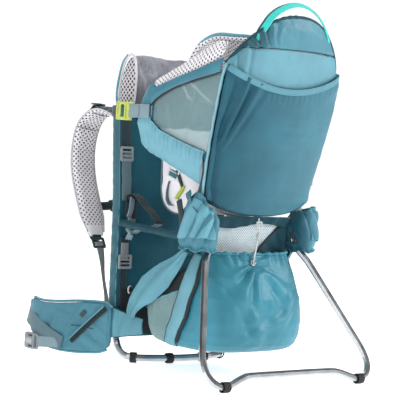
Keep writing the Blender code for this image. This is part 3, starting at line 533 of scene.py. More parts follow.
def section(half_w, half_t, per=3, power=None):
    """Rounded strap section as (a, b)."""
    r = min(half_t * 0.95, half_w)
    out = []
    for sx, sy, st in ((1, 1, 0), (-1, 1, 90), (-1, -1, 180), (1, -1, 270)):
        for k in range(per):
            a = math.radians(st + 90 * k / (per - 1))
            out.append((sx * (half_w - r) + r * math.cos(a), sy * (half_t - r) + r * math.sin(a)))
    return np.array(out)


def strap(name, path, wide, width, thick, mat, body, closed=False, stitch=None):
    """Webbing along a path; `wide` is a vector, a list or a function of the share of the path."""
    tan = tangents(path, closed)
    n = len(path)
    W_ = []
    for i in range(n):
        w = np.array(wide(i / max(1, n - 1)) if callable(wide) else wide, float)
        W_.append(unit(w - tan[i] * w.dot(tan[i])))
    W_ = np.array(W_)
    N_ = np.cross(tan, W_)
    sec = section(width / 2, thick / 2)
    rings = path[:, None] + W_[:, None] * sec[None, :, :1] + N_[:, None] * sec[None, :, 1:]
    ob = loft(name, rings, mat, body, closed)
    if stitch:
        for s in (-1, 1):
            for side in ((1, -1) if stitch == 2 else (1,)):
                stitches(path + W_ * (s * (width / 2 - 0.22)) + N_ * (side * (thick / 2 + 0.005)), N_ * side, body)
    return ob


def stitches(path, normals, body, length=0.32, gap=0.16, r=0.032, kind="thread"):
    """A row of thread stitches lying on a surface."""
    d = np.r_[0, np.cumsum(np.linalg.norm(np.diff(path, axis=0), axis=1))]
    total = d[-1]
    if total < length:
        return
    s = np.arange(0.1, total - length, length + gap)
    a = np.stack([np.interp(s, d, path[:, k]) for k in range(3)], 1)
    b = np.stack([np.interp(s + length, d, path[:, k]) for k in range(3)], 1)
    nn = np.asarray(normals, float)
    nn = np.broadcast_to(nn, path.shape)
    nrm = unit(np.stack([np.interp(s, d, nn[:, k]) for k in range(3)], 1))
    STITCHES.setdefault((body, kind), []).append((a, b, nrm, r))


def build_stitches():
    for (body, kind), rows in STITCHES.items():
        V, F, UV = [], [], []
        base = 0
        for a, b, n, r in rows:
            t = unit(b - a)
            w = np.cross(t, n)
            for i in range(len(a)):
                m = (a[i] + b[i]) / 2 + n[i] * r * 0.7
                pts = [a[i], m + n[i] * r, m + w[i] * r * 1.3, m - n[i] * r * 1.2, m - w[i] * r * 1.3, b[i]]
                V += pts
                for j in range(4):
                    k = (j + 1) % 4
                    F.append((base, base + 1 + k, base + 1 + j))
                    F.append((base + 5, base + 1 + j, base + 1 + k))
                    UV += [(0, 0), (0.0003, 0.001), (0, 0.001)] * 2
                base += 6
        add_mesh(f"stitching_{body}_{kind}", np.array(V), F, M[kind], body, UV, check=True)


def grid_data(P, thick, closed_v=False):
    """Closed thick sheet round a grid of points P[n, m, 3]."""
    n, m = P.shape[:2]
    gu = np.gradient(P, axis=0)
    gv = np.gradient(P, axis=1)
    N = unit(np.cross(gu, gv))
    t = np.asarray(thick, float)
    t = np.full((n, m), t) if t.ndim == 0 else t
    front = P + N * (t / 2)[..., None]
    back = P - N * (t / 2)[..., None]
    verts = np.vstack([front.reshape(-1, 3), back.reshape(-1, 3)])
    off = n * m
    du = np.r_[0, np.cumsum(np.linalg.norm(np.diff(P, axis=0), axis=2).mean(1))] * CM
    dv = np.r_[0, np.cumsum(np.linalg.norm(np.diff(P, axis=1), axis=2).mean(0))] * CM
    faces, uv, side = [], [], []
    for i in range(n - 1):
        for j in range(m - 1):
            a, b, c, d = i * m + j, (i + 1) * m + j, (i + 1) * m + j + 1, i * m + j + 1
            q = [(du[i], dv[j]), (du[i + 1], dv[j]), (du[i + 1], dv[j + 1]), (du[i], dv[j + 1])]
            faces.append((a, b, c, d)); uv += q; side.append(0)
            faces.append((off + d, off + c, off + b, off + a)); uv += q[::-1]; side.append(1)
    for i in range(n - 1):
        for j, flip in ((0, 0), (m - 1, 1)):
            a, b = i * m + j, (i + 1) * m + j
            f = (a, b, off + b, off + a) if flip else (b, a, off + a, off + b)
            ua, ub = (du[i], dv[j]), (du[i + 1], dv[j])
            faces.append(f); uv += [ua, ub, ub, ua] if flip else [ub, ua, ua, ub]; side.append(2)
    for j in range(m - 1):
        for i, flip in ((0, 1), (n - 1, 0)):
            a, b = i * m + j, i * m + j + 1
            f = (a, b, off + b, off + a) if flip else (b, a, off + a, off + b)
            ua, ub = (du[i], dv[j]), (du[i], dv[j + 1])
            faces.append(f); uv += [ua, ub, ub, ua] if flip else [ub, ua, ua, ub]; side.append(2)
    return verts, faces, uv, side, N


def grid(name, P, thick, mat, body, back_mat=None, face_mat=None, sharp=None):
    v, f, uv, side, N = grid_data(P, thick)
    mats = [mat] if back_mat is None else [mat, back_mat]
    fm = face_mat(P, side) if face_mat else ([1 if s == 1 else 0 for s in side] if back_mat is not None else None)
    if isinstance(mat, (list, tuple)):
        mats = list(mat)
    return add_mesh(name, v, f, mats, body, uv, fm, sharp=sharp)


def uvgrid(nu, nv):
    return np.meshgrid(np.linspace(0, 1, nu), np.linspace(0, 1, nv), indexing='ij')


def surface_normals(P):
    return unit(np.cross(np.gradient(P, axis=0), np.gradient(P, axis=1)))


def fbm(P, scale, seed=0.0, octaves=3):
    """Smooth noise at points P (cm)."""
    flat = P.reshape(-1, 3) * scale
    out = np.array([noise.fractal(Vector((p[0] + seed, p[1] - seed, p[2] + 2 * seed)), 1.0, 2.0, octaves) for p in flat])
    return out.reshape(P.shape[:-1])


def block(name, centre, x_dir, y_dir, half, mat, body, corner=0.3, edge=0.12, per=4):
    c = np.array(centre, float)
    xd = unit(np.array(x_dir, float))
    yd = np.array(y_dir, float)
    yd = unit(yd - xd * yd.dot(xd))
    zd = np.cross(xd, yd)
    rings = []
    for h, inset in ((-half[2], edge), (-half[2] + edge * 0.3, edge * 0.3), (-half[2] + edge, 0.0),
                     (half[2] - edge, 0.0), (half[2] - edge * 0.3, edge * 0.3), (half[2], edge)):
        ring = []
        a, b = half[0] - inset, half[1] - inset
        r = max(corner - inset, 0.03)
        for sx, sy, st in ((1, 1, 0), (-1, 1, 90), (-1, -1, 180), (1, -1, 270)):
            for k in range(per):
                g = math.radians(st + 90 * k / (per - 1))
                ring.append(c + xd * (sx * (a - r) + r * math.cos(g)) + yd * (sy * (b - r) + r * math.sin(g)) + zd * h)
        rings.append(ring)
    return loft(name, rings, mat, body, sharp=40)


def bar_ring(name, centre, x_dir, y_dir, half, hole, thick, mat, body, bars=(), corner=0.35):
    """Moulded buckle frame with a window and optional cross bars at offsets along y."""
    c = np.array(centre, float)
    xd = unit(np.array(x_dir, float))
    yd = np.array(y_dir, float)
    yd = unit(yd - xd * yd.dot(xd))
    zd = np.cross(xd, yd)
    a, b = (half[0] + hole[0]) / 2, (half[1] + hole[1]) / 2
    wa, wb = (half[0] - hole[0]) / 2, (half[1] - hole[1]) / 2
    path = []
    r = corner
    for sx, sy, st in ((1, 1, 0), (-1, 1, 90), (-1, -1, 180), (1, -1, 270)):
        for k in range(6):
            g = math.radians(st + 90 * k / 5)
            path.append((sx * (a - r) + r * math.cos(g), sy * (b - r) + r * math.sin(g)))
    path = np.array(path)
    n = len(path)
    rings = []
    for i in range(n):
        t = unit(path[(i + 1) % n] - path[i - 1])
        nrm = np.array([t[1], -t[0]])
        w = abs(nrm[0]) * wa + abs(nrm[1]) * wb
        ring = []
        for g in np.linspace(0, 2 * math.pi, 12, endpoint=False):
            ca, sa = math.cos(g), math.sin(g)
            p = 0.55
            ex = math.copysign(abs(ca) ** p, ca) * w
            ez = math.copysign(abs(sa) ** p, sa) * thick / 2
            q = path[i] + nrm * ex
            ring.append(c + xd * q[0] + yd * q[1] + zd * ez)
        rings.append(ring)
    obs = [loft(name, rings, mat, body, closed=True)]
    for k, off in enumerate(bars):
        p = np.array([c + xd * s * (half[0] - wa) + yd * off for s in np.linspace(-1, 1, 6)])
        obs.append(tube(f"{name}_bar_{k}", p, thick * 0.42, mat, body, sides=12))
    return obs


def mirrored(path):
    half = A(path)
    other = half * np.array([-1, 1, 1])
    return np.vstack([half, other[::-1][(1 if abs(half[-1][0]) < 1e-6 else 0):]])


def dense(rings, step=0.6):
    """Resample a loft to nearly square cells, seam and rows kept in line."""
    R = np.asarray(rings, float)
    closed = np.concatenate([R, R[:, :1]], 1)
    seg = np.linalg.norm(np.diff(closed, axis=1), axis=2)
    per = seg.sum(1)
    n = max(16, int(round(per.max() / step)))
    out = []
    for k in range(R.shape[0]):
        t = np.r_[0, np.cumsum(seg[k])] / per[k]
        q = np.linspace(0, 1, n, endpoint=False)
        out.append(np.stack([np.interp(q, t, closed[k, :, a]) for a in range(3)], -1))
    out = np.array(out)
    gap = np.r_[0, np.cumsum(np.linalg.norm(np.diff(out, axis=0), axis=2).mean(1))]
    m = max(12, int(round(gap[-1] / step)))
    # keep the close rows at both ends
    q = np.unique(np.concatenate([np.linspace(0, gap[-1], m), gap[:2], gap[-2:]]))
    q = q[np.concatenate([[True], np.diff(q) > 0.12 * step])]
    j = np.clip(np.searchsorted(gap, q, side='right') - 1, 0, len(gap) - 2)
    f = ((q - gap[j]) / np.maximum(gap[j + 1] - gap[j], 1e-9))[:, None, None]
    return out[j] * (1 - f) + out[j + 1] * f


def puff(ob, pressure=4.0, cap=0.008, voxel=0.005, frames=20, subdiv=1, shrink=0.0, pin=None):
    """Inflate a closed pad with cloth, keeping every point near its start."""
    if voxel:
        rm = ob.modifiers.new("remesh", 'REMESH')
        rm.mode = 'VOXEL'
        rm.voxel_size = voxel
        rm.use_smooth_shade = True
        apply(ob)
    return simulate(ob, pressure, cap, frames, subdiv, shrink, pin)


def apply(ob):
    dg = bpy.context.evaluated_depsgraph_get()
    ev = ob.evaluated_get(dg)
    new = bpy.data.meshes.new_from_object(ev, depsgraph=dg)
    old = ob.data
    ob.modifiers.clear()
    ob.data = new
    new.name = old.name + "_applied"
    if not new.materials and old.materials:
        for m in old.materials:
            new.materials.append(m)


def simulate(ob, pressure=4.0, cap=0.008, frames=20, subdiv=1, shrink=0.0, pin=None, gravity=0.0, stiff=15.0, bend=0.5):
    sc = bpy.context.scene
    me = ob.data
    start = np.empty(len(me.vertices) * 3)
    me.vertices.foreach_get("co", start)
    start = start.reshape(-1, 3)
    cl = ob.modifiers.new("cloth", 'CLOTH')
    s = cl.settings
    s.quality = 4
    s.mass = 0.3
    s.tension_stiffness = stiff
    s.compression_stiffness = stiff
    s.shear_stiffness = stiff * 0.5
    s.bending_stiffness = bend
    s.use_pressure = pressure > 0
    s.uniform_pressure_force = pressure
    s.effector_weights.gravity = gravity
    if shrink:
        s.shrink_min = shrink
        s.shrink_max = shrink
    if pin is not None:
        vg = ob.vertex_groups.new(name="pin")
        vg.add([int(i) for i in pin], 1.0, 'REPLACE')
        s.vertex_group_mass = "pin"
        s.pin_stiffness = 1.0
    cl.point_cache.frame_start = 1
    cl.point_cache.frame_end = frames
    for f in range(1, frames + 1):
        sc.frame_set(f)
    dg = bpy.context.evaluated_depsgraph_get()
    ev = ob.evaluated_get(dg)
    m2 = ev.to_mesh()
    end = np.empty(len(m2.vertices) * 3)
    m2.vertices.foreach_get("co", end)
    ev.to_mesh_clear()
    end = end.reshape(-1, 3)
    ob.modifiers.remove(cl)
    sc.frame_set(1)
    if len(end) == len(start) and np.isfinite(end).all():
        d = end - start
        L = np.linalg.norm(d, axis=1, keepdims=True)
        k = np.where(L > 1e-9, cap * np.tanh(L / cap) / np.maximum(L, 1e-9), 1.0)
        me.vertices.foreach_set("co", (start + d * k).ravel())
        me.update()
    if pin is not None:
        ob.vertex_groups.clear()
    if subdiv:
        sub = ob.modifiers.new("sub", 'SUBSURF')
        sub.levels = sub.render_levels = subdiv
        apply(ob)
    ob.data.shade_smooth()
    return ob


# =====================================================================
# design surfaces, as the CAD has them
# =====================================================================
BACK_LINE = ((5.0, -4.0), (14.0, -3.2), (24.0, -2.9), (32.0, -2.6), (42.0, -1.65), (52.0, -0.7), (60.0, 0.1))


def hermite(table, x):
    if x <= table[0][0]:
        (x0, y0), (x1, y1) = table[0], table[1]
        return y0 + (y1 - y0) * (x - x0) / (x1 - x0)
    if x >= table[-1][0]:
        (x0, y0), (x1, y1) = table[-2], table[-1]
        return y1 + (y1 - y0) * (x - x1) / (x1 - x0)
    for i in range(len(table) - 1):
        (x0, y0), (x1, y1) = table[i], table[i + 1]
        if x <= x1:
            m0 = ((y1 - table[i - 1][1]) / (x1 - table[i - 1][0])) if i else (y1 - y0) / (x1 - x0)
            m1 = ((table[i + 2][1] - y0) / (table[i + 2][0] - x0)) if i + 2 < len(table) else (y1 - y0) / (x1 - x0)
            h = x1 - x0
            t = (x - x0) / h
            return ((2 * t ** 3 - 3 * t * t + 1) * y0 + (t ** 3 - 2 * t * t + t) * h * m0
                    + (-2 * t ** 3 + 3 * t * t) * y1 + (t ** 3 - t * t) * h * m1)


def back_y(z):
    return hermite(BACK_LINE, z)


back_yv = np.vectorize(back_y)


def head_width(v):
    w = 13.6 + 1.6 * np.sin(math.pi / 2 * np.minimum(1.0, v / 0.80))
    return w - 0.7 * np.maximum(0.0, (v - 0.8) / 0.2) ** 2


def head_bottom(u):
    return 32.0 + 3.0 * np.abs(u) ** 2.5


def head_top(u):
    return 71.4 - 9.8 * np.abs(u) ** 2.3


def head_point(u, v, offset=0.0):
    u, v = np.asarray(u, float), np.asarray(v, float)
    z = head_bottom(u) + (head_top(u) - head_bottom(u)) * v
    y = (-(28.2 + 0.205 * (z - 35.3)) - 1.7 * (1 - u * u) - 0.8 * (1 - np.abs(u) ** 8) + 0.8 * v ** 8)
    y = y - 0.045 * np.clip(z - 44.0, -4.0, 18.0)
    return np.stack(np.broadcast_arrays(u * head_width(v), y + offset, z), -1)


PIVOT = (11.8, -28.04, 27.3)
LEG_SLOPE = 0.578


def leg_point(x, z):
    return (x, PIVOT[1] - LEG_SLOPE * (PIVOT[2] - z), z)


SIDES = (("left", -1), ("right", 1))


def lerp(a, b, t):
    return a + (b - a) * t


def sstep(x, lo, hi):
    t = np.clip((x - lo) / (hi - lo), 0, 1)
    return t * t * (3 - 2 * t)


def bell(x, c, w):
    return np.exp(-((x - c) / w) ** 2)


def table(rows):
    xs = [r[0] for r in rows]
    order = np.argsort(xs)
    X = np.array(xs, float)[order]
    Yv = np.array([r[1] for r in rows], float)[order]
    return lambda y: np.interp(y, X, Yv)


# =====================================================================
# camera, lights, floor
# =====================================================================
def build_stage():
    pos = Vector((-2.23534, (-279.36807 + DY) * CM, 0.49954))
    v = Vector((0.64783, 0.76038, -0.04624)).normalized()
    r = v.cross(Vector((0, 0, 1))).normalized()
    u = r.cross(v)
    a = math.radians(3.75759)
    r2 = r * math.cos(a) + u * math.sin(a)
    u2 = -r * math.sin(a) + u * math.cos(a)
    cam = bpy.data.cameras.new("camera")
    ob = bpy.data.objects.new("camera", cam)
    bpy.context.collection.objects.link(ob)
    m = Matrix((r2, u2, -v)).transposed().to_4x4()
    m.translation = pos
    ob.matrix_world = m
    cam.sensor_width = 36
    cam.lens = 152.22
    cam.shift_x = -0.0443
    cam.shift_y = 0.00471
    cam.clip_start, cam.clip_end = 0.05, 60
    bpy.context.scene.camera = ob

    def area(name, loc, target, size, power, colour=(1, 1, 1)):
        d = bpy.data.lights.new(name, 'AREA')
        d.shape = 'RECTANGLE'
        d.size, d.size_y = size
        d.energy = power
        d.color = colour
        o = bpy.data.objects.new(name, d)
        bpy.context.collection.objects.link(o)
        o.location = loc
        o.rotation_mode = 'QUATERNION'
        o.rotation_quaternion = (Vector(target) - Vector(loc)).to_track_quat('-Z', 'Y')
    area("key_light", (2.3, -2.3, 1.8), (0, -0.1, 0.4), (1.0, 1.0), 92, (1.0, 0.998, 0.99))
    area("left_strip", (-2.7, -0.9, 1.7), (0, 0, 0.38), (2.0, 2.2), 10, (0.98, 0.99, 1.0))
    area("top_soft", (-0.3, -0.2, 2.6), (0, 0, 0.3), (1.6, 1.6), 24)
    area("edge_strip", (-3.1, -1.2, 0.75), (0, -0.2, 0.35), (1.5, 1.9), 26)
    area("back_rim", (0.6, 2.4, 1.5), (0, 0, 0.4), (1.3, 1.3), 26)

    w = bpy.data.worlds.new("studio")
    bpy.context.scene.world = w
    w.use_nodes = True
    bg = w.node_tree.nodes["Background"]
    bg.inputs["Color"].default_value = (1, 1, 1, 1)
    lp = w.node_tree.nodes.new("ShaderNodeLightPath")
    st = w.node_tree.nodes.new("ShaderNodeMapRange")
    st.inputs[3].default_value = 0.36
    st.inputs[4].default_value = 1.08
    w.node_tree.links.new(lp.outputs["Is Camera Ray"], st.inputs[0])
    # less light in reflections, so that tubes and coated cloth keep dark cores
    gl = w.node_tree.nodes.new("ShaderNodeMapRange")
    gl.inputs[3].default_value = 1.0
    gl.inputs[4].default_value = 0.25
    w.node_tree.links.new(lp.outputs["Is Glossy Ray"], gl.inputs[0])
    mul = w.node_tree.nodes.new("ShaderNodeMath")
    mul.operation = 'MULTIPLY'
    w.node_tree.links.new(st.outputs[0], mul.inputs[0])
    w.node_tree.links.new(gl.outputs[0], mul.inputs[1])
    w.node_tree.links.new(mul.outputs[0], bg.inputs["Strength"])
    bpy.context.scene.view_settings.view_transform = 'Standard'
    bpy.context.scene.view_settings.look = 'None'

    t = Tree("studio_floor")
    n = t.noise(0.8, 3.0)
    col = t.mix(n, (0.955, 0.955, 0.955), (0.985, 0.985, 0.985))
    t.finish(col, t.math('MULTIPLY_ADD', n, 0.05, 0.75), t.bump(t.noise(260.0, 2.0), 0.0001, 0.3), spec=0.05)
    t.bsdf.inputs["Emission Color"].default_value = (1, 1, 1, 1)
    t.bsdf.inputs["Emission Strength"].default_value = 0.70
    me = bpy.data.meshes.new("floor")
    s, z = 14.0, -0.0006
    me.from_pydata([(-s, -s, z), (s, -s, z), (s, s, z), (-s, s, z)], [], [(0, 1, 2, 3)])
    me.materials.append(t.mat)
    fl = bpy.data.objects.new("floor", me)
    bpy.context.collection.objects.link(fl)


# =====================================================================
# headrest
# =====================================================================
def band_z(u):
    return 57.2 + 4.0 * u * u


def seam_z(u):
    return 64.5 + 0.55 * (1 - u * u)


def head_v(u, z):
    return (z - head_bottom(u)) / (head_top(u) - head_bottom(u))


def build_headrest():
    # main shell: outer fabric, seam, gathered dome
    nu, nv = ((150, 130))
    U, V = uvgrid(nu, nv)
    uu = 2 * U - 1
    P = head_point(uu, V)
    N = surface_normals(P)
    x, z = P[..., 0], P[..., 2]
    above = sstep(z, seam_z(uu) - 0.1, seam_z(uu) + 0.5)
    d = np.zeros_like(x)
    d -= 0.25 * bell(z, seam_z(uu), 0.28)
    d += 0.55 * above * sstep(V, 1.0, 0.93)
    # gathers on the near shoulder of the dome
    ang = np.arctan2(z - 62.5, x + 4.5)
    rad = np.hypot(z - 62.5, x + 4.5)
    near = sstep(x, -3.0, -8.5) * above
    d += near * 0.42 * np.sin(ang * 17 + 1.3 * np.sin(rad * 1.1)) * sstep(rad, 1.0, 4.5)
    d += above * (1 - near) * 0.16 * fbm(P, 0.16, 3.0)
    # upright folds between the pocket and the seam on the near side
    mid = sstep(z, band_z(uu), band_z(uu) + 1.0) * (1 - above)
    d += mid * 0.38 * bell(x, -11.2, 0.55) - mid * 0.50 * bell(x, -12.4, 0.6) - mid * 0.25 * bell(x, -10.2, 0.5)
    d += mid * 0.14 * fbm(P, 0.13, 5.0)
    d += 0.05 * fbm(P, 0.7, 9.0)
    d -= 0.42 * (1 - sstep(z, band_z(uu) - 1.6, band_z(uu) - 0.4))
    P = P + N * d[..., None]
    gat = near > 0.5

    def mats(Pg, side):
        out = []
        n, m = Pg.shape[:2]
        k = 0
        for i in range(n - 1):
            for j in range(m - 1):
                zz, xx, u_ = Pg[i, j, 2], Pg[i, j, 0], uu[i, j]
                if zz > seam_z(u_):
                    f = 2
                elif zz > band_z(u_) - 0.6:
                    f = 0
                else:
                    f = 3
                out += [f, 4]
        out += [3] * (len(side) - len(out))
        return out
    ob = grid("headrest_cover", P, 0.34, [M["panel"], M["dark"], M["dome"], M["dark"], M["back"]], "carrier", face_mat=mats)
    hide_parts("headrest_panel")

    # outer pocket with the deep diagonal folds on the near side
    nu, nv = ((190, 150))
    U, V = uvgrid(nu, nv)
    uu = 2 * U - 1
    zb = head_bottom(uu) + 0.4
    z = zb + (band_z(uu) - zb) * V
    P = head_point(uu * 0.985, (z - head_bottom(uu)) / (head_top(uu) - head_bottom(uu)), -0.72)
    P[..., 2] = z
    N = surface_normals(P)
    x = P[..., 0]
    hem = band_z(uu) - z                       # distance below the mouth
    grow = sstep(z, 42.0, 52.0)

    def ridge(x0, z0, x1, z1, width):
        """Soft ridge along a line that widens upwards."""
        k = (x1 - x0) / (z1 - z0)
        cx = x0 + k * (z - z0)
        return bell(x - cx, 0, width * (0.45 + 0.75 * np.clip((z - z0) / (z1 - z0), 0, 1.2)))
    d = grow * (0.52 * ridge(-13.6, 44.0, -10.7, 57.4, 0.72) + 0.50 * ridge(-13.4, 43.0, -8.0, 56.8, 0.85))
    d -= grow * (0.62 * ridge(-13.9, 44.0, -12.5, 57.8, 0.75) + 0.55 * ridge(-13.5, 43.5, -9.45, 57.0, 0.55)
                 + 0.30 * ridge(-13.0, 43.0, -6.4, 56.5, 0.9))
    # dark channel just inside the near edge
    edge = x + head_width(np.clip((z - head_bottom(uu)) / (head_top(uu) - head_bottom(uu)), 0, 1)) * 0.985
    d -= 0.55 * bell(edge, 1.25, 0.50) * sstep(z, 33.0, 38.0) * sstep(z, 53.0, 46.0)
    d += 0.22 * bell(edge, 0.30, 0.32)
    d *= 0.45 + 0.55 * sstep(hem, 0.4, 2.2)
    # slack in the middle, ripples across and a sag above the hem
    d += 0.45 * np.exp(-((x / 9.0) ** 2 + ((z - 45) / 9.0) ** 2))
    d += 0.035 * np.sin(z * 3.4 + 0.8 * np.sin(x * 0.35)) * np.exp(-(((x - 1) / 7) ** 2 + ((z - 48) / 6) ** 2))
    d += 0.22 * bell(z, 35.6, 1.2) - 0.16 * bell(z, 33.5, 0.8)
    d -= 0.20 * bell(z, 37.6, 1.1) * sstep(-x, 2.0, 10.0)
    # fine puckers hanging from the hem seam
    d += 0.05 * np.sin(x * 4.3 + 0.8 * np.sin(x * 1.7)) * bell(hem, 1.6, 1.2) * sstep(x, -7.0, -4.0)
    d += 0.10 * fbm(P, 0.10, 1.0) + 0.035 * fbm(P, 0.45, 2.0)
    right = sstep(x, 9.0, 13.0)
    d += right * 0.18 * np.sin((z - 0.6 * x) * 0.9) * sstep(z, 52.0, 58.0)
    P = P + N * np.clip(d, -0.62, 0.9)[..., None]
    ob = grid("headrest_pocket_fabric", P, 0.16, M["pocket"], "carrier", back_mat=M["back"])
    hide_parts("headrest_pocket")
    top = P[:, -1]

    # hem band along the pocket's mouth; behind it a black tube is painted shadow in the slit
    us = np.linspace(-0.985, 0.985, 90)
    path = head_point(us, head_v(us, band_z(us) - 0.35), -0.98)
    path[:, 2] = band_z(us) - 0.35
    path[:, 1] += -0.05 * np.sin(us * 19) * (us < -0.4)
    up = np.gradient(path, axis=0)
    ob = strap("pocket_hem_band", path, (0, -0.12, 1), 1.25, 0.26, M["binding"], "carrier", stitch=1)
    p2 = path + np.array([0, 0.16, 0.60])
    tube("pocket_slit_painted_shadow", p2, 0.10, M["piping_black"], "carrier", sides=8)
    # side and bottom edges of the pocket: rolled bindings
    for s in (-1, 1):
        vs = np.linspace(0.02, 0.995, 60)
        p = head_point(np.full(60, float(s)), vs, -0.35) + np.array([s * 0.05, 0, 0])
        p[:, 0] += 0.04 * np.sin(vs * 40)
        tube(f"headrest_edge_piping_{'left' if s < 0 else 'right'}", p, 0.30 + 0.03 * np.sin(vs * 55),
             M["piping_light"] if s < 0 else M["light"], "carrier", sides=12)
        p = head_point(np.full(60, s * 0.972), vs * 0.80, -0.62)
        tube(f"headrest_edge_cord_{'left' if s < 0 else 'right'}", p, 0.13, M["piping_black"], "carrier", sides=8)
    us = np.linspace(-0.99, 0.99, 70)
    p = head_point(us, 0 * us + 0.012, -0.45)
    tube("headrest_lower_hem", p, 0.26, M["dark"], "carrier", sides=10)
    us = np.linspace(-1, 1, 110)
    p = head_point(us, 0 * us + 1.0, 0.05)
    tube("headrest_top_hem", p, 0.34 + 0.05 * np.sin(us * 60) * (us < 0), M["dark"], "carrier", sides=12)
    # seam across the dome
    us = np.linspace(-0.86, 0.86, 80)
    p = head_point(us, head_v(us, seam_z(us)), -0.22)
    p[:, 2] = seam_z(us)
    tube("dome_seam_cord", p, 0.09, M["piping_black"], "carrier", sides=8)
    stitches(p + np.array([0, -0.02, -0.35]), (0, -1, 0.1), "carrier", kind="thread_light")
    # paths beside the pocket's edges; nothing is drawn along them
    for s in (-1, 1):
        vs = np.linspace(0.04, 0.80, 60)
        p = head_point(np.full(60, s * 0.93), vs, -0.98)

    # padded lining on the child's side, quilted
    nu, nv = 70, 70
    U, V = uvgrid(nu, nv)
    uu = (2 * U - 1) * 0.80
    vv = 0.10 + 0.76 * V
    P = head_point(uu, vv, 1.55)
    th = 0.5 + 1.35 * (np.sin(math.pi * np.clip(U, 0, 1)) * np.sin(math.pi * np.clip(V, 0, 1))) ** 0.35
    q = np.abs(np.sin(math.pi * 3 * U)) ** 0.5 * np.abs(np.sin(math.pi * 4 * V)) ** 0.5
    th = th * (0.72 + 0.28 * q)
    v_, f_, uv_, side, N = grid_data(P, th)
    ob = add_mesh("headrest_lining_pad", v_, f_, [M["white_mesh"], M["smooth_white"]], "carrier", uv_,
                  [0 if s == 1 else 1 for s in side])
    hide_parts("headrest_pad")
    loop = np.vstack([P[:, 0], P[-1, 1:], P[::-1, -1][1:], P[0, ::-1][1:-1]])
    tube("headrest_pad_piping", resample(loop, 160, closed=True), 0.22, M["piping_white"], "carrier", 8, closed=True)


def build_handle():
    n = 90
    path = Curve(mirrored([(-9.05, -36.55, 64.9), (-9.15, -36.75, 66.4), (-8.75, -37.0, 67.9), (-7.85, -37.15, 69.3), (-6.6, -37.25, 70.9),
                           (-4.7, -37.4, 72.35), (-2.4, -37.5, 73.35), (0, -37.5, 73.75)]))(np.linspace(0, 1, n))
    sa = np.clip((path[:, 2] - 65.0) / 8.7, 0, 1)
    k = 0.85 * sa ** 0.5
    radial = unit(np.stack([path[:, 0], 0 * sa, path[:, 2] - 65.5], 1))
    wide = radial * (1 - k * 0.45)[:, None] + np.array([0, 1, 0]) * k[:, None]
    tan = tangents(path)
    wide = unit(wide - tan * (wide * tan).sum(1, keepdims=True))
    nrm = np.cross(tan, wide)
    sign = -1 if nrm[0][1] > 0 else 1
    nrm = nrm * sign
    sec = section(0.66, 0.13, 3)
    rings = path[:, None] + wide[:, None] * sec[None, :, :1] + nrm[:, None] * (sec[None, :, 1:] + 0.07)
    ob = loft("carry_handle_webbing", rings, M["web_turq"], "carrier")
    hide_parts("carry_handle")
    # navy edge of the folded backing strap: wide on the near leg, thin over the top
    wv = 0.30 - 0.18 * sstep(np.linspace(0, 1, n), 0.28, 0.5)
    off = 0.66 - 0.05
    rings = []
    for i in range(n):
        s2 = section(wv[i] + 0.02, 0.17, 3)
        c = path[i] + wide[i] * (off + wv[i] * 0.3)
        rings.append([c + wide[i] * q[0] + nrm[i] * (q[1] - 0.02) for q in s2])
    loft("carry_handle_edge", rings, M["web_navy"], "carrier")
    for s in (-1, 1):
        stitches(path + wide * (0.48 * s) + nrm * 0.21, nrm, "carrier", kind="thread_light")
    # sewn ends
    for i, s, nm in ((0, -1, "left"), (n - 1, 1, "right")):
        c = path[i]
        down = -tan[i] if i == 0 else tan[i]
        p = np.array([c - down * 0.9 + nrm[i] * 0.12, c - down * 0.3 + nrm[i] * 0.2, c + down * 0.2 + nrm[i] * 0.05,
                      c + down * 0.6 + np.array([0, 0.5, 0])])
        strap(f"handle_tab_{nm}", catmull(p, 4), wide[i], 1.5, 0.26, M["web_navy"], "carrier", stitch=1)


# =====================================================================
# cockpit wings
# =====================================================================
L_LOW = table([(-8.6, 45.3), (-10.0, 45.0), (-13.4, 43.6), (-16.9, 42.6), (-20.8, 41.3), (-24.2, 40.3), (-28.9, 38.9), (-31.0, 38.3)])
L_WB = table([(-13.3, 49.8), (-14.6, 48.9), (-16.6, 47.8), (-22.4, 46.2), (-29.0, 44.7), (-31.0, 44.3)])
L_WT = table([(-13.2, 52.6), (-14.2, 53.7), (-16.2, 54.9), (-19.7, 56.4), (-24.2, 57.8), (-28.6, 59.0), (-31.0, 59.7)])
L_HIGH = table([(-11.8, 55.6), (-14.3, 56.4), (-18.0, 57.8), (-21.3, 58.9), (-24.6, 60.0), (-27.8, 61.2), (-30.9, 62.4), (-31.5, 62.7)])
L_RIM = table([(-11.7, 57.1), (-17.9, 59.6), (-24.3, 62.3), (-27.3, 63.7), (-30.5, 65.0), (-33.6, 66.0), (-36.5, 66.4)])


def wing_x(Y, z):
    f = np.clip((Y + 15.0) / 7.0, 0, 1)
    bulge = 0.75 * np.sin(math.pi * np.clip((z - 39) / 24, 0, 1)) * np.clip((-8.5 - Y) / 4, 0, 1) * np.clip((Y + 31.5) / 4, 0, 1)
    return -(15.0 - 0.55 * f * f + bulge)


def wing_end(z):
    return -(28.2 + 0.205 * (z - 35.3)) + 0.15


def left_strip(lo, hi, w0, w1, nu, nv, inset=0.0, gather=0.0, puffd=0.0):
    """Panel of the near wing between two lines, from Y = -13.3 back to the headrest."""
    S, Wv = uvgrid(nu, nv)
    Yn = -13.3 + S * (-31.0 + 13.3)
    z = lo(Yn) + (hi(Yn) - lo(Yn)) * Wv
    Y = -13.3 + S * (wing_end(z) + 13.3)
    x = wing_x(Y, z)
    P = np.stack([x, Y, z], -1)
    return P, S, Wv


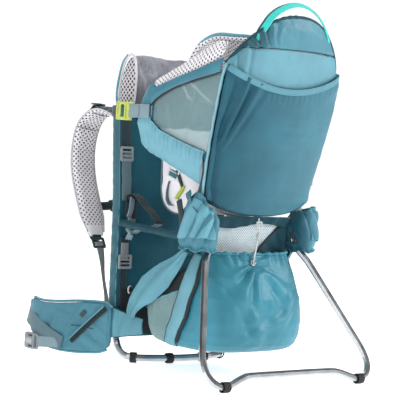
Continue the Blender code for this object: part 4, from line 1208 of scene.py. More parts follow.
def build_wing_left():
    nu = 110
    # lower band, gathered on elastic under the window
    P, S, Wv = left_strip(L_LOW, L_WB, 0, 1, nu, 28)
    g = 0.30 * np.sin(P[..., 1] * 4.6 + 1.2 * np.sin(P[..., 1] * 1.7)) * sstep(Wv, 0.45, 0.92) * (1 - 0.6 * sstep(Wv, 0.93, 1.0))
    g += 0.10 * np.sin(P[..., 1] * 3.1) * sstep(Wv, 0.4, 0.0) + 0.30 * np.sin(math.pi * Wv)
    g += 0.10 * fbm(P, 0.35, 4.0)
    P[..., 0] -= g
    ob = grid("wing_left_lower_band", P, 0.30, M["light2"], "carrier", back_mat=M["light"])
    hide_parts("cockpit_wing_left")
    stitches(P[:, 3] + np.array([-0.2, 0, 0]), (-1, 0, 0), "carrier", kind="thread_light")
    low_edge = P[:, 0]
    wb = P[:, -1]
    # window: see-through net with slack folds
    P, S, Wv = left_strip(L_WB, L_WT, 1, 2, nu, 40)
    fold = 0.30 * bell(P[..., 1] + 0.35 * (P[..., 2] - 52), -22.5, 0.9) - 0.35 * bell(P[..., 1] + 0.3 * (P[..., 2] - 52), -24.6, 0.9)
    fold += 0.18 * bell(P[..., 1] - 0.25 * (P[..., 2] - 52), -18.5, 0.8)
    fold += 0.22 * np.sin((P[..., 1] * 1.1 + P[..., 2] * 0.5)) * sstep(P[..., 2], 51, 47)
    P[..., 0] += 0.55 - fold * np.sin(math.pi * Wv) - 0.10 * fbm(P, 0.3, 8.0)
    ob = grid("wing_left_window", P, 0.07, M["window"], "carrier")
    U, V = uvgrid(40, 30)
    yy = -30.6 + 6.8 * U
    zt_ = L_WT(yy) + 0.4
    zz = zt_ - (6.8 - 3.0 * U) * V
    Q = np.stack([-13.7 + 0.30 * np.sin((yy + 0.5 * (zz - 55)) * 2.2) * V + 0 * U, yy, zz], -1)
    grid("wing_left_inner_fan", Q, 0.10, M["smooth_white"], "carrier")
    yy = -29.4 + 9.0 * U
    zl_ = L_WB(yy) - 0.4
    zz = zl_ + (4.2 - 2.4 * U ** 2 + 0.5 * np.sin(U * 7)) * V
    Q = np.stack([-13.8 + 0.2 * np.sin(yy * 1.3), yy, zz], -1)
    grid("wing_left_inner_hem", Q, 0.10, M["smooth_white"], "carrier")
    # top band
    P, S, Wv = left_strip(L_WT, L_HIGH, 2, 3, nu, 18)
    P[..., 0] -= 0.28 * np.sin(math.pi * Wv) + 0.08 * fbm(P, 0.4, 6.0)
    ob = grid("wing_left_top_band", P, 0.32, M["band_teal"], "carrier", back_mat=M["white_mesh"])
    wt = P[:, 0]
    high = P[:, -1]
    stitches(P[:, 2] + np.array([-0.22, 0, 0]), (-1, 0, 0), "carrier", kind="thread_light")
    # front end, folded round the strap
    front = Curve([(-14.35, -9.5, 45.0), (-14.5, -8.5, 47.6), (-14.6, -8.05, 49.6), (-14.6, -8.7, 52.7), (-14.55, -9.6, 54.8),
                   (-14.5, -10.6, 56.4)])
    back_c = Curve([(-15.15, -13.35, 43.6), (-15.5, -13.35, 47), (-15.65, -13.35, 50), (-15.65, -13.35, 53), (-15.3, -13.35, 57.1)])
    n, m = 26, 50
    T = np.linspace(0, 1, m)
    A_, B_ = front(T), back_c(T)
    F = np.linspace(0, 1, n)[:, None, None]
    P = A_[None] * (1 - F) + B_[None] * F
    P[..., 0] -= 0.35 * np.sin(math.pi * F[..., 0]) + 0.10 * fbm(P, 0.35, 11.0)
    P[..., 0] += 0.30 * bell(P[..., 2], 51.5, 0.5) * sstep(P[..., 1], -13.5, -10) - 0.2 * bell(P[..., 2], 49.0, 0.8)
    ob = grid("wing_left_front_end", P, 0.40, M["light2"], "carrier", back_mat=M["white_mesh"])
    ob.data.materials.append(M["band_teal"])
    upper = ob.data.materials.find(M["band_teal"].name)
    for pl in ob.data.polygons:
        if pl.center.z > 0.505 and pl.normal.x < -0.3:
            pl.material_index = upper
    # black piping round the window
    xo = np.array([-0.12, 0, 0])
    tube("wing_left_piping_top", wt + xo, 0.15, M["piping_black"], "carrier", sides=10)
    tube("wing_left_piping_bottom", wb + xo, 0.11, M["piping_light"], "carrier", sides=10)
    p = Curve([(-15.75, -13.2, 53.3), (-15.78, -13.15, 51.5), (-15.7, -13.3, 49.5)])(np.linspace(0, 1, 20))
    tube("wing_left_piping_front", p, 0.17, M["piping_black"], "carrier", sides=10)
    # hem roll round the lower edge and the front
    edge = np.vstack([low_edge[::-1], np.array([[-14.9, -12.0, 43.9]]), front(np.linspace(0, 1, 30))])
    tube("wing_left_hem", resample(catmull(edge[::3], 3), 120), 0.26, M["light2"], "carrier", sides=10)
    # padded rim of white spacer mesh that stands above the top band
    m = 70
    Y = np.linspace(-11.7, -33.6, m)
    base = L_HIGH(Y)
    base = np.where(Y < -31.5, 62.7 + (-31.5 - Y) * 0.50, base)
    h = np.clip(L_RIM(Y) - base, 0.9, 3.2)
    h = h * sstep(np.linspace(0, 1, m), -0.05, 0.09) * (1 - 0.3 * sstep(np.linspace(0, 1, m), 0.93, 1.0))
    rings = []
    for i in range(m):
        cx = -14.45 - 0.05 * math.sin(i * 0.4)
        ring = []
        for g in np.linspace(0, 2 * math.pi, 22, endpoint=False):
            ca, sa_ = math.cos(g), math.sin(g)
            ring.append((cx + 0.72 * math.copysign(abs(ca) ** 0.8, ca) * (0.85 + 0.15 * h[i] / 2.3) + 0.18 * (sa_ > 0) * sa_,
                         Y[i], base[i] + h[i] * 0.5 + (h[i] * 0.5 + 0.35) * math.copysign(abs(sa_) ** 0.85, sa_)))
        rings.append(ring)
    R = np.array(rings)
    R += 0.05 * fbm(R, 0.5, 2.0)[..., None] * np.array([1, 0, 1])
    ob = loft("wing_left_padded_rim", R, M["white_mesh"], "carrier")
    # webbing from the wing's front end to the lime side-entry buckle
    path = Curve([(-16.12, -13.1, 51.5), (-16.05, -11.2, 51.5), (-15.75, -9.2, 51.45), (-15.42, -6.9, 51.4), (-15.35, -5.7, 51.35)])(np.linspace(0, 1, 30))
    ob = strap("side_entry_strap_left", path, (0, 0, 1), 2.75, 0.22, M["web_pale"], "carrier", stitch=1)
    p = Curve([(-15.55, -5.8, 51.35), (-15.75, -7.4, 51.4), (-16.0, -9.6, 51.45)])(np.linspace(0, 1, 16))
    strap("side_entry_strap_tail_left", p, (0, 0, 1), 2.6, 0.2, M["web_pale"], "carrier", stitch=1)


def build_wing_right():
    low = Curve([(14.95, -28.6, 38.8), (15.1, -22.0, 40.6), (15.0, -14.8, 44.0), (14.2, -8.8, 49.0), (11.4, -5.9, 55.8), (6.0, -5.3, 60.8), (1.2, -5.1, 62.4)])
    high = Curve([(15.0, -32.4, 64.6), (15.2, -24.0, 65.4), (15.0, -16.0, 67.0), (13.9, -9.5, 68.4), (11.0, -6.3, 68.6), (6.6, -5.3, 68.4), (2.8, -5.1, 66.4), (0.8, -5.0, 63.4)])
    nu, nv = ((120, 64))
    U, V = uvgrid(nu, nv)
    P = lerp(low(U), high(U), V[..., None])
    b = 0.8 * np.sin(math.pi * V) * np.sin(math.pi * np.clip(U * 1.1, 0, 1)) ** 0.6
    P[..., 0] += b + 0.10 * fbm(P, 0.25, 12.0)
    P[..., 0] += 0.14 * np.sin(P[..., 1] * 6.0) * bell(V, 0.22, 0.07)

    def mats(Pg, side):
        n, m = Pg.shape[:2]
        out = []
        for i in range(n - 1):
            for j in range(m - 1):
                u_, v_ = i / (n - 1), j / (m - 1)
                win = 0.27 < v_ < 0.80 and 0.02 < u_ < 0.52
                out += [1 if win else (2 if v_ < 0.27 else 0), 1 if win else 3]
        out += [2] * (len(side) - len(out))
        return out
    ob = grid("wing_right_shell", P, 0.28, [M["light"], M["window"], M["light2"], M["white_mesh"]], "carrier", face_mat=mats)
    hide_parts("cockpit_wing_right")
    j1, j2 = int(0.27 * nv), int(0.80 * nv)
    i2 = int(0.52 * nu)
    xo = np.array([0.14, 0, 0])
    loop = np.vstack([P[2:i2, j1], P[i2, j1:j2], P[2:i2, j2][::-1]]) + xo
    tube("wing_right_piping", resample(loop, 120), 0.14, M["piping_black"], "carrier", sides=10)
    # rolled teal edge outside, white padded roll inside it
    top = P[:, -1]
    tube("wing_right_top_roll", resample(top, 90) + np.array([0.1, 0, 0.1]), 0.48, M["light"], "carrier", sides=14)
    k = resample(top, 90)
    inward = np.stack([-np.ones(90), 0.35 * np.ones(90), -1.1 * np.ones(90)], 1) * 0.55
    inward[60:, 1] = np.linspace(0.2, -0.3, 30)
    ob = tube("wing_right_padded_rim", k + inward, 0.52, M["white_mesh"], "carrier", sides=16)
    tube("wing_right_hem", resample(P[:, 0], 80), 0.24, M["light2"], "carrier", sides=10)
    tube("wing_right_end_hem", resample(P[-1, :], 24), 0.30, M["light"], "carrier", sides=12)
    path = Curve([(14.9, -9.6, 50.3), (15.35, -8.0, 51.0), (15.15, -6.2, 51.45), (15.1, -5.4, 51.4), (15.15, -4.2, 51.35)])(np.linspace(0, 1, 30))
    strap("side_entry_strap_right", path, (0, 0, 1), 2.45, 0.22, M["web_pale"], "carrier", stitch=1)


# =====================================================================
# front pad
# =====================================================================
def build_front_pad():
    m = 26
    rings = []
    for k in range(m):
        v = 2 * k / (m - 1) - 1
        xk = 11.75 * (1 - (1 - abs(v)) * 0) * v
        f = 1 - abs(v) ** 10
        prof = catmull([(0, 2.9, 52.2), (0, 3.1, 54.5), (0, 2.9, 57.5), (0, 1.9, 61.2), (0, 0.1, 63.1), (0, -1.5, 62.5),
                        (0, -2.2, 59.4), (0, -2.3, 56.0), (0, -2.0, 53.0), (0, -1.2, 51.9), (0, 1.2, 51.75)], 4, closed=True)
        c = prof.mean(0)
        q = c + (prof - c) * (0.92 + 0.08 * f)
        q[:, 0] = xk
        rings.append(q)
    ob = loft("front_pad_cushion", dense(rings, 0.45), M["fleece"], "carrier")
    puff(ob, pressure=3.0, cap=0.0065, voxel=0.0, frames=16)
    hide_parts("front_pad")
    me = ob.data
    # soft dents and crumpled folds of a fleece cover
    co = np.empty(len(me.vertices) * 3)
    me.vertices.foreach_get("co", co)
    co = co.reshape(-1, 3)
    no = np.empty(len(me.vertices) * 3)
    me.vertices.foreach_get("normal", no)
    no = no.reshape(-1, 3)
    pc = co / CM
    d = 0.22 * fbm(pc, 0.16, 21.0) + 0.08 * fbm(pc, 0.5, 5.0)
    xx = pc[:, 0]
    d -= 0.30 * bell(xx + 0.4 * (pc[:, 2] - 57), -8.8, 0.7) + 0.22 * bell(xx - 0.5 * (pc[:, 2] - 57), 5.5, 0.8)
    d = np.clip(d, -0.5, 0.3)
    me.vertices.foreach_set("co", (co + no * d[:, None] * CM).ravel())
    me.update()
    for mt in (M["grey_mesh3"], M["white_mesh_end"]):
        me.materials.append(mt)
    idx = [(1 if abs(p.normal.x) > 0.62 and abs(p.center.x) > 0.105 else 0) for p in me.polygons]
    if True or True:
        # the two ends are open spacer mesh
        me.polygons.foreach_set("material_index", np.array([2 if i else 0 for i in idx], np.int32))
    # white rim between the fleece and the mesh ends
    for s, nm in ((-1, "left"), (1, "right")):
        prof = catmull([(0, 3.2, 52.2), (0, 3.5, 54.5), (0, 3.3, 57.5), (0, 2.2, 61.5), (0, 0.1, 63.6), (0, -1.7, 62.9),
                        (0, -2.6, 59.5), (0, -2.65, 56.0), (0, -2.35, 53.0), (0, -1.4, 51.6), (0, 1.2, 51.5)], 6, closed=True)
        c = prof.mean(0)
        p = c + (prof - c) * 0.90
        p[:, 0] = s * 11.66
        tube(f"front_pad_rim_{nm}", p, 0.26, M["piping_white"], "carrier", 12, closed=True)
        p2 = c + (prof - c) * 0.99
        p2[:, 0] = s * 11.95
        sel = p2[np.argsort(-p2[:, 1])]
        edge = Curve([(s * 12.1, 2.9, 51.9), (s * 12.15, 3.35, 54.5), (s * 12.1, 3.1, 57.6), (s * 12.0, 2.1, 61.2), (s * 11.9, 0.6, 62.9)])(np.linspace(0, 1, 30))
        tube(f"front_pad_edge_{nm}", edge, 0.20, M["light"], "carrier", 10)
    # teal base the pad is sewn to
    U, V = uvgrid(50, 16)
    xk = (2 * U - 1) * 12.0
    z = 49.9 + 2.6 * V
    P = np.stack([xk, -1.15 - 0.5 * V + 0.1 * np.sin(xk * 2.2), z], -1)
    grid("front_pad_base_band", P, 0.3, M["back"], "carrier")


# =====================================================================
# back panel
# =====================================================================
def build_back():
    # cover that wraps the frame
    prof = Curve([(-13.55, 2.6, 0), (-14.0, 2.1, 0), (-14.35, 1.2, 0), (-14.35, 0.5, 0), (-14.0, 0.05, 0), (-12.5, 0.0, 0), (-6, 0.0, 0), (0, 0.0, 0),
                  (6, 0, 0), (12.5, 0, 0), (14.0, 0.05, 0), (14.35, 0.5, 0), (14.35, 1.2, 0), (14.0, 2.1, 0), (13.55, 2.6, 0)])
    nu, nv = ((150, 160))
    U, V = uvgrid(nu, nv)
    c = prof(U)
    z = 5.0 + 46.2 * V
    edge = np.minimum(z - 5.0, 51.2 - z)
    P = np.stack([c[..., 0] * (1 - 0.014 * np.clip(1 - edge / 1.4, 0, 1) ** 2), c[..., 1] + back_yv(z), z], -1)
    x = P[..., 0]
    frontness = sstep(np.abs(x), 14.2, 12.0)
    d = 0.30 * frontness * np.cos(x * 0.12) ** 2
    d += frontness * (0.16 * fbm(P, 0.12, 31.0) + 0.06 * fbm(P, 0.45, 33.0))
    d += frontness * 0.18 * bell(z + 0.25 * x, 24.0, 1.1) * sstep(-x, 2, 10)
    P[..., 1] += d
    P[..., 0] += (1 - frontness) * 0.10 * np.sin(z * 1.9) * np.sign(x) * 0.8 * sstep(z, 34, 30)

    def mats(Pg, side):
        n, m = Pg.shape[:2]
        out = []
        for i in range(n - 1):
            for j in range(m - 1):
                xx = Pg[i, j, 0]
                out += [0 if abs(xx) < 14.1 else 1, 2]
        out += [1] * (len(side) - len(out))
        return out
    ob = grid("back_cover", P, 0.34, [M["back"], M["back_side"], M["lining"]], "carrier", face_mat=mats)
    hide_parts("back_panel_cover")
    # light piping down both edges on the wearer's side, binding over the top
    for s, nm in ((-1, "left"), (1, "right")):
        zz = np.linspace(5.2, 51.0, 90)
        p = np.stack([s * (13.65 + 0.03 * np.sin(zz * 2.1)), back_yv(zz) + 2.55, zz], 1)
        tube(f"back_edge_piping_{nm}", p, 0.24 + 0.03 * np.sin(zz * 3.3), M["piping_light"], "carrier", sides=10)
        p = np.stack([s * 14.15 + 0 * zz, back_yv(zz) + 0.02, zz], 1)
        tube(f"back_corner_piping_{nm}", p, 0.10, M["light"], "carrier", sides=8)
        stitches(np.stack([s * 13.7 + 0 * zz, back_yv(zz) - 0.12, zz], 1), (0, -1, 0), "carrier")
    p = np.stack([np.linspace(-14.2, 14.2, 60), np.full(60, back_y(51.0) + 0.35), np.full(60, 51.15)], 1)
    tube("back_top_binding", p, 0.34, M["dark"], "carrier", sides=12)
    p = np.stack([np.linspace(-14.2, 14.2, 60), np.full(60, back_y(5.2) + 0.35), np.full(60, 5.15)], 1)
    tube("back_bottom_binding", p, 0.30, M["dark"], "carrier", sides=12)

    # webbing and ladderlocks down the front face on each side
    for s, nm in ((-1, "left"), (1, "right")):
        def run(z0, z1, dx=0.0, off=-0.42, n=26, wob=0.0):
            zz = np.linspace(z0, z1, n)
            return np.stack([s * (12.85 + dx) + wob * np.sin(zz * 1.4), back_yv(zz) + off + 0.5 * wob * np.cos(zz * 2.1), zz], 1)
        strap(f"side_webbing_top_{nm}", run(50.2, 42.9), (1, 0, 0), 2.7, 0.22, M["web_deep"], "carrier", stitch=1)
        lock = (s * 12.85, back_y(42.5) - 0.85, 42.5)
        bar_ring(f"side_ladderlock_{nm}", lock, (1, 0, 0), (0, 0.09, 1), (1.65, 1.55), (1.15, 1.0), 0.42, M["plastic_grey"], "carrier",
                 bars=(0.42, -0.42))
        strap(f"side_webbing_mid_{nm}", run(42.9, 33.0, off=-0.75, wob=0.05), (1, 0, 0), 2.35, 0.2, M["web_grey"], "carrier", stitch=1)
        strap(f"side_webbing_under_{nm}", run(41.8, 33.6, dx=0.15, off=-0.40), (1, 0.0, 0), 2.2, 0.2, M["web_dark"], "carrier")
        # lower ladderlock on its own short webbing
        strap(f"side_webbing_low_{nm}", run(25.6, 11.2, dx=-0.1), (1, 0, 0), 2.1, 0.22, M["web_deep"], "carrier", stitch=1)
        lock = (s * 12.7, back_y(20.4) - 0.85, 20.4)
        bar_ring(f"lower_ladderlock_{nm}", lock, (1, 0, 0), (0, 0.03, 1), (1.7, 1.5), (1.2, 0.95), 0.42, M["plastic_grey"], "carrier",
                 bars=(0.38, -0.38))
        strap(f"lower_webbing_pale_{nm}", run(24.3, 20.6, dx=0.0, off=-0.75), (1, 0, 0), 1.9, 0.2, M["web_light"], "carrier")
        # accessory ring
        ring = Curve([(s * 10.7, back_y(14) - 0.4, 15.3), (s * 11.35, back_y(14) - 0.75, 15.2), (s * 11.6, back_y(14) - 0.85, 14.6),
                      (s * 11.35, back_y(14) - 0.75, 14.0), (s * 10.7, back_y(14) - 0.4, 13.9)])(np.linspace(0, 1, 30))
        tube(f"accessory_loop_{nm}", ring, 0.17, M["plastic_white"], "carrier", sides=12)
        strap(f"accessory_tab_{nm}", np.array([(s * (10.0), back_y(14.6) - 0.28, 14.6), (s * 10.5, back_y(14.6) - 0.35, 14.6), (s * 10.95, back_y(14.6) - 0.40, 14.6)]),
              (0, 0, 1), 1.1, 0.2, M["web_dark"], "carrier")
    # bag-side gusset at the foot of the panel
    U, V = uvgrid(60, 30)
    xk = (2 * U - 1) * 13.4
    z = 5.3 + 9.5 * V
    P = np.stack([xk, back_yv(z) - 0.45 - 0.25 * np.sin(math.pi * V) + 0.12 * np.sin(xk * 1.3 + z), z], -1)
    grid("back_lower_panel", P, 0.16, M["lining"], "carrier")


def pad_loft(name, rows, sec_fn, mat, body, node, cap=0.006, pressure=3.5, voxel=0.0):
    ob = loft(name, dense(rows), mat, body)
    ob.parent = None
    puff(ob, pressure=pressure, cap=cap, voxel=voxel, frames=14)
    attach(ob, body)
    if node:
        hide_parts(node)
    return ob


def rounded(half_a, half_b, r, per=3):
    out = []
    r = min(r, half_a, half_b)
    for sx, sy, st in ((1, 1, 0), (-1, 1, 90), (-1, -1, 180), (1, -1, 270)):
        for k in range(per + 1):
            a = math.radians(st + 90 * k / per)
            out.append((sx * (half_a - r) + r * math.cos(a), sy * (half_b - r) + r * math.sin(a)))
    return out


def build_back_pads():
    for nm, s in SIDES:
        rings = []
        for k in range(17):
            v = k / 16
            z = 14.8 + 22.9 * v
            shrink = (1 - abs(2 * v - 1) ** 6)
            half_w = 4.7 * (0.72 + 0.28 * shrink)
            t = 0.72 * (0.45 + 0.55 * shrink)
            y = back_y(z) + 2.6 + 0.14 + t
            rings.append([(s * (8.4 + a), y + b, z) for a, b in rounded(half_w, t, min(t * 0.95, 0.8), 3)])
        ob = pad_loft(f"back_pad_foam_{nm}", rings, None, M["grey_mesh3"], "carrier", f"back_pad_{nm}", cap=0.005)
        # sewn channels: cords across each pad
        for q, zz in enumerate((20.5, 26.2, 32.0)):
            p = Curve([(s * 4.2, back_y(zz) + 4.1, zz - 0.4), (s * 8.4, back_y(zz) + 4.75, zz), (s * 12.6, back_y(zz) + 4.1, zz - 0.4)])(np.linspace(0, 1, 24))
            tube(f"back_pad_seam_{nm}_{q}", p, 0.14, M["piping_black"], "carrier", sides=8)
    rings = []
    for k in range(13):
        v = k / 12
        z = 5.8 + 7.5 * v
        shrink = (1 - abs(2 * v - 1) ** 4)
        t = 0.6 + 0.45 * shrink
        y = back_y(z) + 2.6 + 0.17 + t
        rings.append([(a, y + b, z) for a, b in rounded(9.4 + 1.5 * shrink, t, t * 0.95, 3)])
    pad_loft("lumbar_pad_foam", rings, None, M["white_mesh3"], "carrier", "lumbar_pad", cap=0.005)
    for q, xx in enumerate((-4.2, 4.2)):
        p = Curve([(xx, back_y(6.3) + 4.0, 6.2), (xx, back_y(9.6) + 5.05, 9.6), (xx, back_y(13) + 4.0, 13.1)])(np.linspace(0, 1, 20))
        tube(f"lumbar_seam_{q}", p, 0.12, M["piping_light"], "carrier", sides=8)


# =====================================================================
# shoulder harness
# =====================================================================
STRAP_WAY = ((4.6, 2.9, 44.9), (5.7, 5.6, 48.4), (6.7, 9.6, 51.0), (7.7, 13.6, 51.1), (8.6, 16.9, 48.4), (9.2, 18.0, 43.5),
             (9.5, 17.2, 38.0), (9.6, 14.9, 32.5), (9.6, 12.3, 27.5), (9.6, 10.6, 24.4))


def build_harness():
    for nm, s in SIDES:
        way = Curve([(s * a, b, c) for a, b, c in STRAP_WAY])
        n = 46
        T = np.linspace(0, 1, n)
        path = way(T)
        tan = tangents(path)
        w = np.array([1.0, 0, 0]) - tan * tan[:, :1]
        w = unit(w)
        nrm = np.cross(tan, w)             # points to the wearer's body side or away
        inner = nrm * np.sign((nrm * (np.array([0, 8.0, 38.0]) - path)).sum(1))[:, None]
        rings = []
        for i in range(n):
            f = T[i]
            hw = 3.0 * (0.62 + 0.38 * min(1.0, f / 0.12, (1 - f) / 0.10))
            ht = 0.62 * (0.55 + 0.45 * min(1.0, f / 0.10, (1 - f) / 0.08))
            rings.append([path[i] + w[i] * a + nrm[i] * b for a, b in rounded(hw, ht, ht * 0.9, 3)])
        ob = loft(f"shoulder_strap_pad_{nm}", dense(rings), M["white_mesh3"], "shoulder_harness")
        ob.parent = None
        puff(ob, pressure=3.5, cap=0.0035, voxel=0.0, frames=12)
        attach(ob, "shoulder_harness")
        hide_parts(f"shoulder_strap_{nm}")
        me = ob.data
        for mt in (M["smooth_white"], M["dark"]):
            me.materials.append(mt)
        cen = np.array([tuple(p.center) for p in me.polygons]) / CM - np.array([0, DY, 0])
        nor = np.array([tuple(p.normal) for p in me.polygons])
        near = np.argmin(((cen[:, None] - path[None]) ** 2).sum(2), axis=1)
        facing = (nor * inner[near]).sum(1)
        idx = np.where(facing < -0.25, 2, np.where((T[near] > 0.955) & (facing > 0.3), 1, 0))
        me.polygons.foreach_set("material_index", idx.astype(np.int32))
        # piping along both edges and the outer webbing
        for e, en in ((-1, "a"), (1, "b")):
            p = path + w * (e * 3.05) * (0.62 + 0.38 * np.minimum(1, np.minimum(T / 0.12, (1 - T) / 0.10)))[:, None]
            tube(f"shoulder_strap_piping_{nm}_{en}", p[1:-1], 0.17, M["piping_white"], "shoulder_harness", sides=10)
        outer = -inner
        sel = T > 0.30
        p = (path + outer * 0.98)[sel]
        strap(f"shoulder_strap_webbing_{nm}", p, w[sel][0], 2.2, 0.2, M["web_dark"], "shoulder_harness", stitch=1)
        sel = (T > 0.40) & (T < 0.50)
        # channels across the mesh
        for q, f in enumerate((0.34, 0.45, 0.56, 0.66)):
            i = int(f * (n - 1))
            a = path[i] - w[i] * 2.7 + inner[i] * 0.62
            b = path[i] + w[i] * 2.7 + inner[i] * 0.62
            mid = path[i] + inner[i] * 0.78
            tube(f"shoulder_strap_seam_{nm}_{q}", Curve([a, mid, b])(np.linspace(0, 1, 16)), 0.09, M["web_light"], "shoulder_harness", sides=8)
        # load lifter from the strap's top to the frame, curved between pack and harness and attached to neither body
        a = np.array((s * 10.6, 0.2, 50.2))
        b = np.array((s * 9.2, 13.6, 51.9))
        p = Curve([a, (s * 10.4, 4.6, 50.9), (s * 9.9, 9.4, 51.6), b])(np.linspace(0, 1, 40))
        ob = strap(f"load_lifter_{nm}", p, (1, 0, 0), 1.9, 0.2, M["web_dark"], None)
        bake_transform(ob)
        bar_ring(f"load_lifter_lock_{nm}", (s * 9.15, 13.6, 52.35), (1, 0, 0), (0, 1, 0.10), (1.35, 1.0), (1.0, 0.55), 0.32,
                 M["plastic_dark"], "shoulder_harness", bars=(0.0,))
        strap(f"load_lifter_base_{nm}", np.array([(s * 9.2, 14.2, 52.1), (s * 9.1, 15.2, 51.3), (s * 9.05, 16.4, 49.9)]), (1, 0, 0), 1.8, 0.22,
              M["web_dark"], "shoulder_harness")

        # ladderlock and the twisted webbing to the base
        c = (s * 9.65, 9.75, 23.0)
        obs = bar_ring(f"strap_ladderlock_frame_{nm}", c, (1, 0, 0), (0, 0.52, 0.86), (1.6, 1.25), (1.1, 0.75), 0.42, M["plastic_dark"],
                       "shoulder_harness", bars=(0.22, -0.25))
        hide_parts(f"strap_ladderlock_{nm}")
        way2 = Curve([(s * 9.68, 9.55, 23.2), (s * 9.7, 8.9, 21.3), (s * 9.8, 7.5, 17.8), (s * 10.0, 6.0, 13.6), (s * 10.2, 4.7, 9.6)])
        T2 = np.linspace(0, 1, 50)
        p2 = way2(T2)
        p2[:, 0] += 0.12 * np.sin(T2 * 9)
        ws = [(math.cos(0.75 * math.sin(2.6 * t) * s), 0.9 * math.sin(0.75 * math.sin(2.6 * t)), 0.2) for t in T2]
        ob = strap(f"strap_webbing_{nm}_run", p2, lambda f: ws[int(round(f * 49))], 1.9, 0.22, M["web_light"], None)
        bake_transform(ob)
        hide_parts(f"strap_webbing_{nm}")
        strap(f"strap_webbing_tail_{nm}", Curve([(s * 9.65, 10.3, 23.4), (s * 9.8, 11.0, 23.6), (s * 9.9, 11.9, 24.6), (s * 10.0, 12.6, 25.9)])(np.linspace(0, 1, 26)),
              (1, 0.25 * s, 0), 1.7, 0.18, M["web_dark"], "shoulder_harness")
        strap(f"strap_pad_tab_{nm}", np.array([(s * 9.6, 11.2, 25.4), (s * 9.62, 10.7, 24.6), (s * 9.65, 10.15, 23.7)]), (1, 0, 0), 2.2, 0.26,
              M["web_dark"], "shoulder_harness")

    # sternum strap
    along = unit(np.array([0, 0.42, 0.907]))
    z0, y0 = 30.6, 15.25
    for nm, s in SIDES:
        n = 24
        xs = np.linspace(8.2, 2.7, n)
        p = np.stack([s * xs, y0 + 0.12 * np.sin(xs * 1.4), z0 + 0.14 * np.sin(xs * 0.9)], 1)
        ob = strap(f"sternum_webbing_{nm}", p, along, 1.9, 0.2, M["web_dark"], "sternum_unit", stitch=1)
        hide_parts(f"sternum_strap_{nm}")
        block(f"sternum_slider_{nm}", (s * 8.3, y0 + 0.2, z0), (1, 0, 0), along, (0.75, 1.3, 0.32), M["plastic_dark"], "sternum_unit", 0.3, 0.1)
    ob = block("sternum_socket_body", (-1.62, y0, z0), (1, 0, 0), along, (1.30, 1.35, 0.42), M["plastic_dark"], "sternum_unit", 0.45, 0.16)
    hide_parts("sternum_buckle_socket")
    ob = block("sternum_plug_body", (1.55, y0, z0), (1, 0, 0), along, (1.30, 1.2, 0.38), M["plastic_dark"], "sternum_unit", 0.4, 0.14)
    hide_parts("sternum_buckle_plug")
    for k in (-1, 1):
        block(f"sternum_prong_{'a' if k < 0 else 'b'}", np.array((-0.15, y0, z0)) + along * 0.85 * k, (1, 0, 0), along, (0.75, 0.22, 0.24),
              M["plastic_dark"], "sternum_unit", 0.1, 0.05)
    bar_ring("sternum_socket_loop", (-2.75, y0, z0), along, (1, 0, 0), (1.3, 0.55), (0.95, 0.2), 0.3, M["plastic_dark"], "sternum_unit")

    # cover over the yoke plate
    U, V = uvgrid(30, 24)
    z = 38.6 + 8.3 * V
    wv = 5.1 - 0.8 * np.abs(2 * V - 1) ** 3
    P = np.stack([(2 * U - 1) * wv, back_y(38.5) + 0.095 * (z - 38.5) + 1.95 + 0.10 * fbm(np.stack([U * 10, V * 8, 0 * U], -1), 0.6, 2.0), z], -1)
    ob = grid("yoke_cover", P[::-1], 0.42, M["back"], "shoulder_harness")
    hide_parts("yoke_plate")
    stitches(P[1:-1, 1] + np.array([0, 0.26, 0]), (0, 1, 0), "shoulder_harness")
    stitches(P[1:-1, -2] + np.array([0, 0.26, 0]), (0, 1, 0), "shoulder_harness")


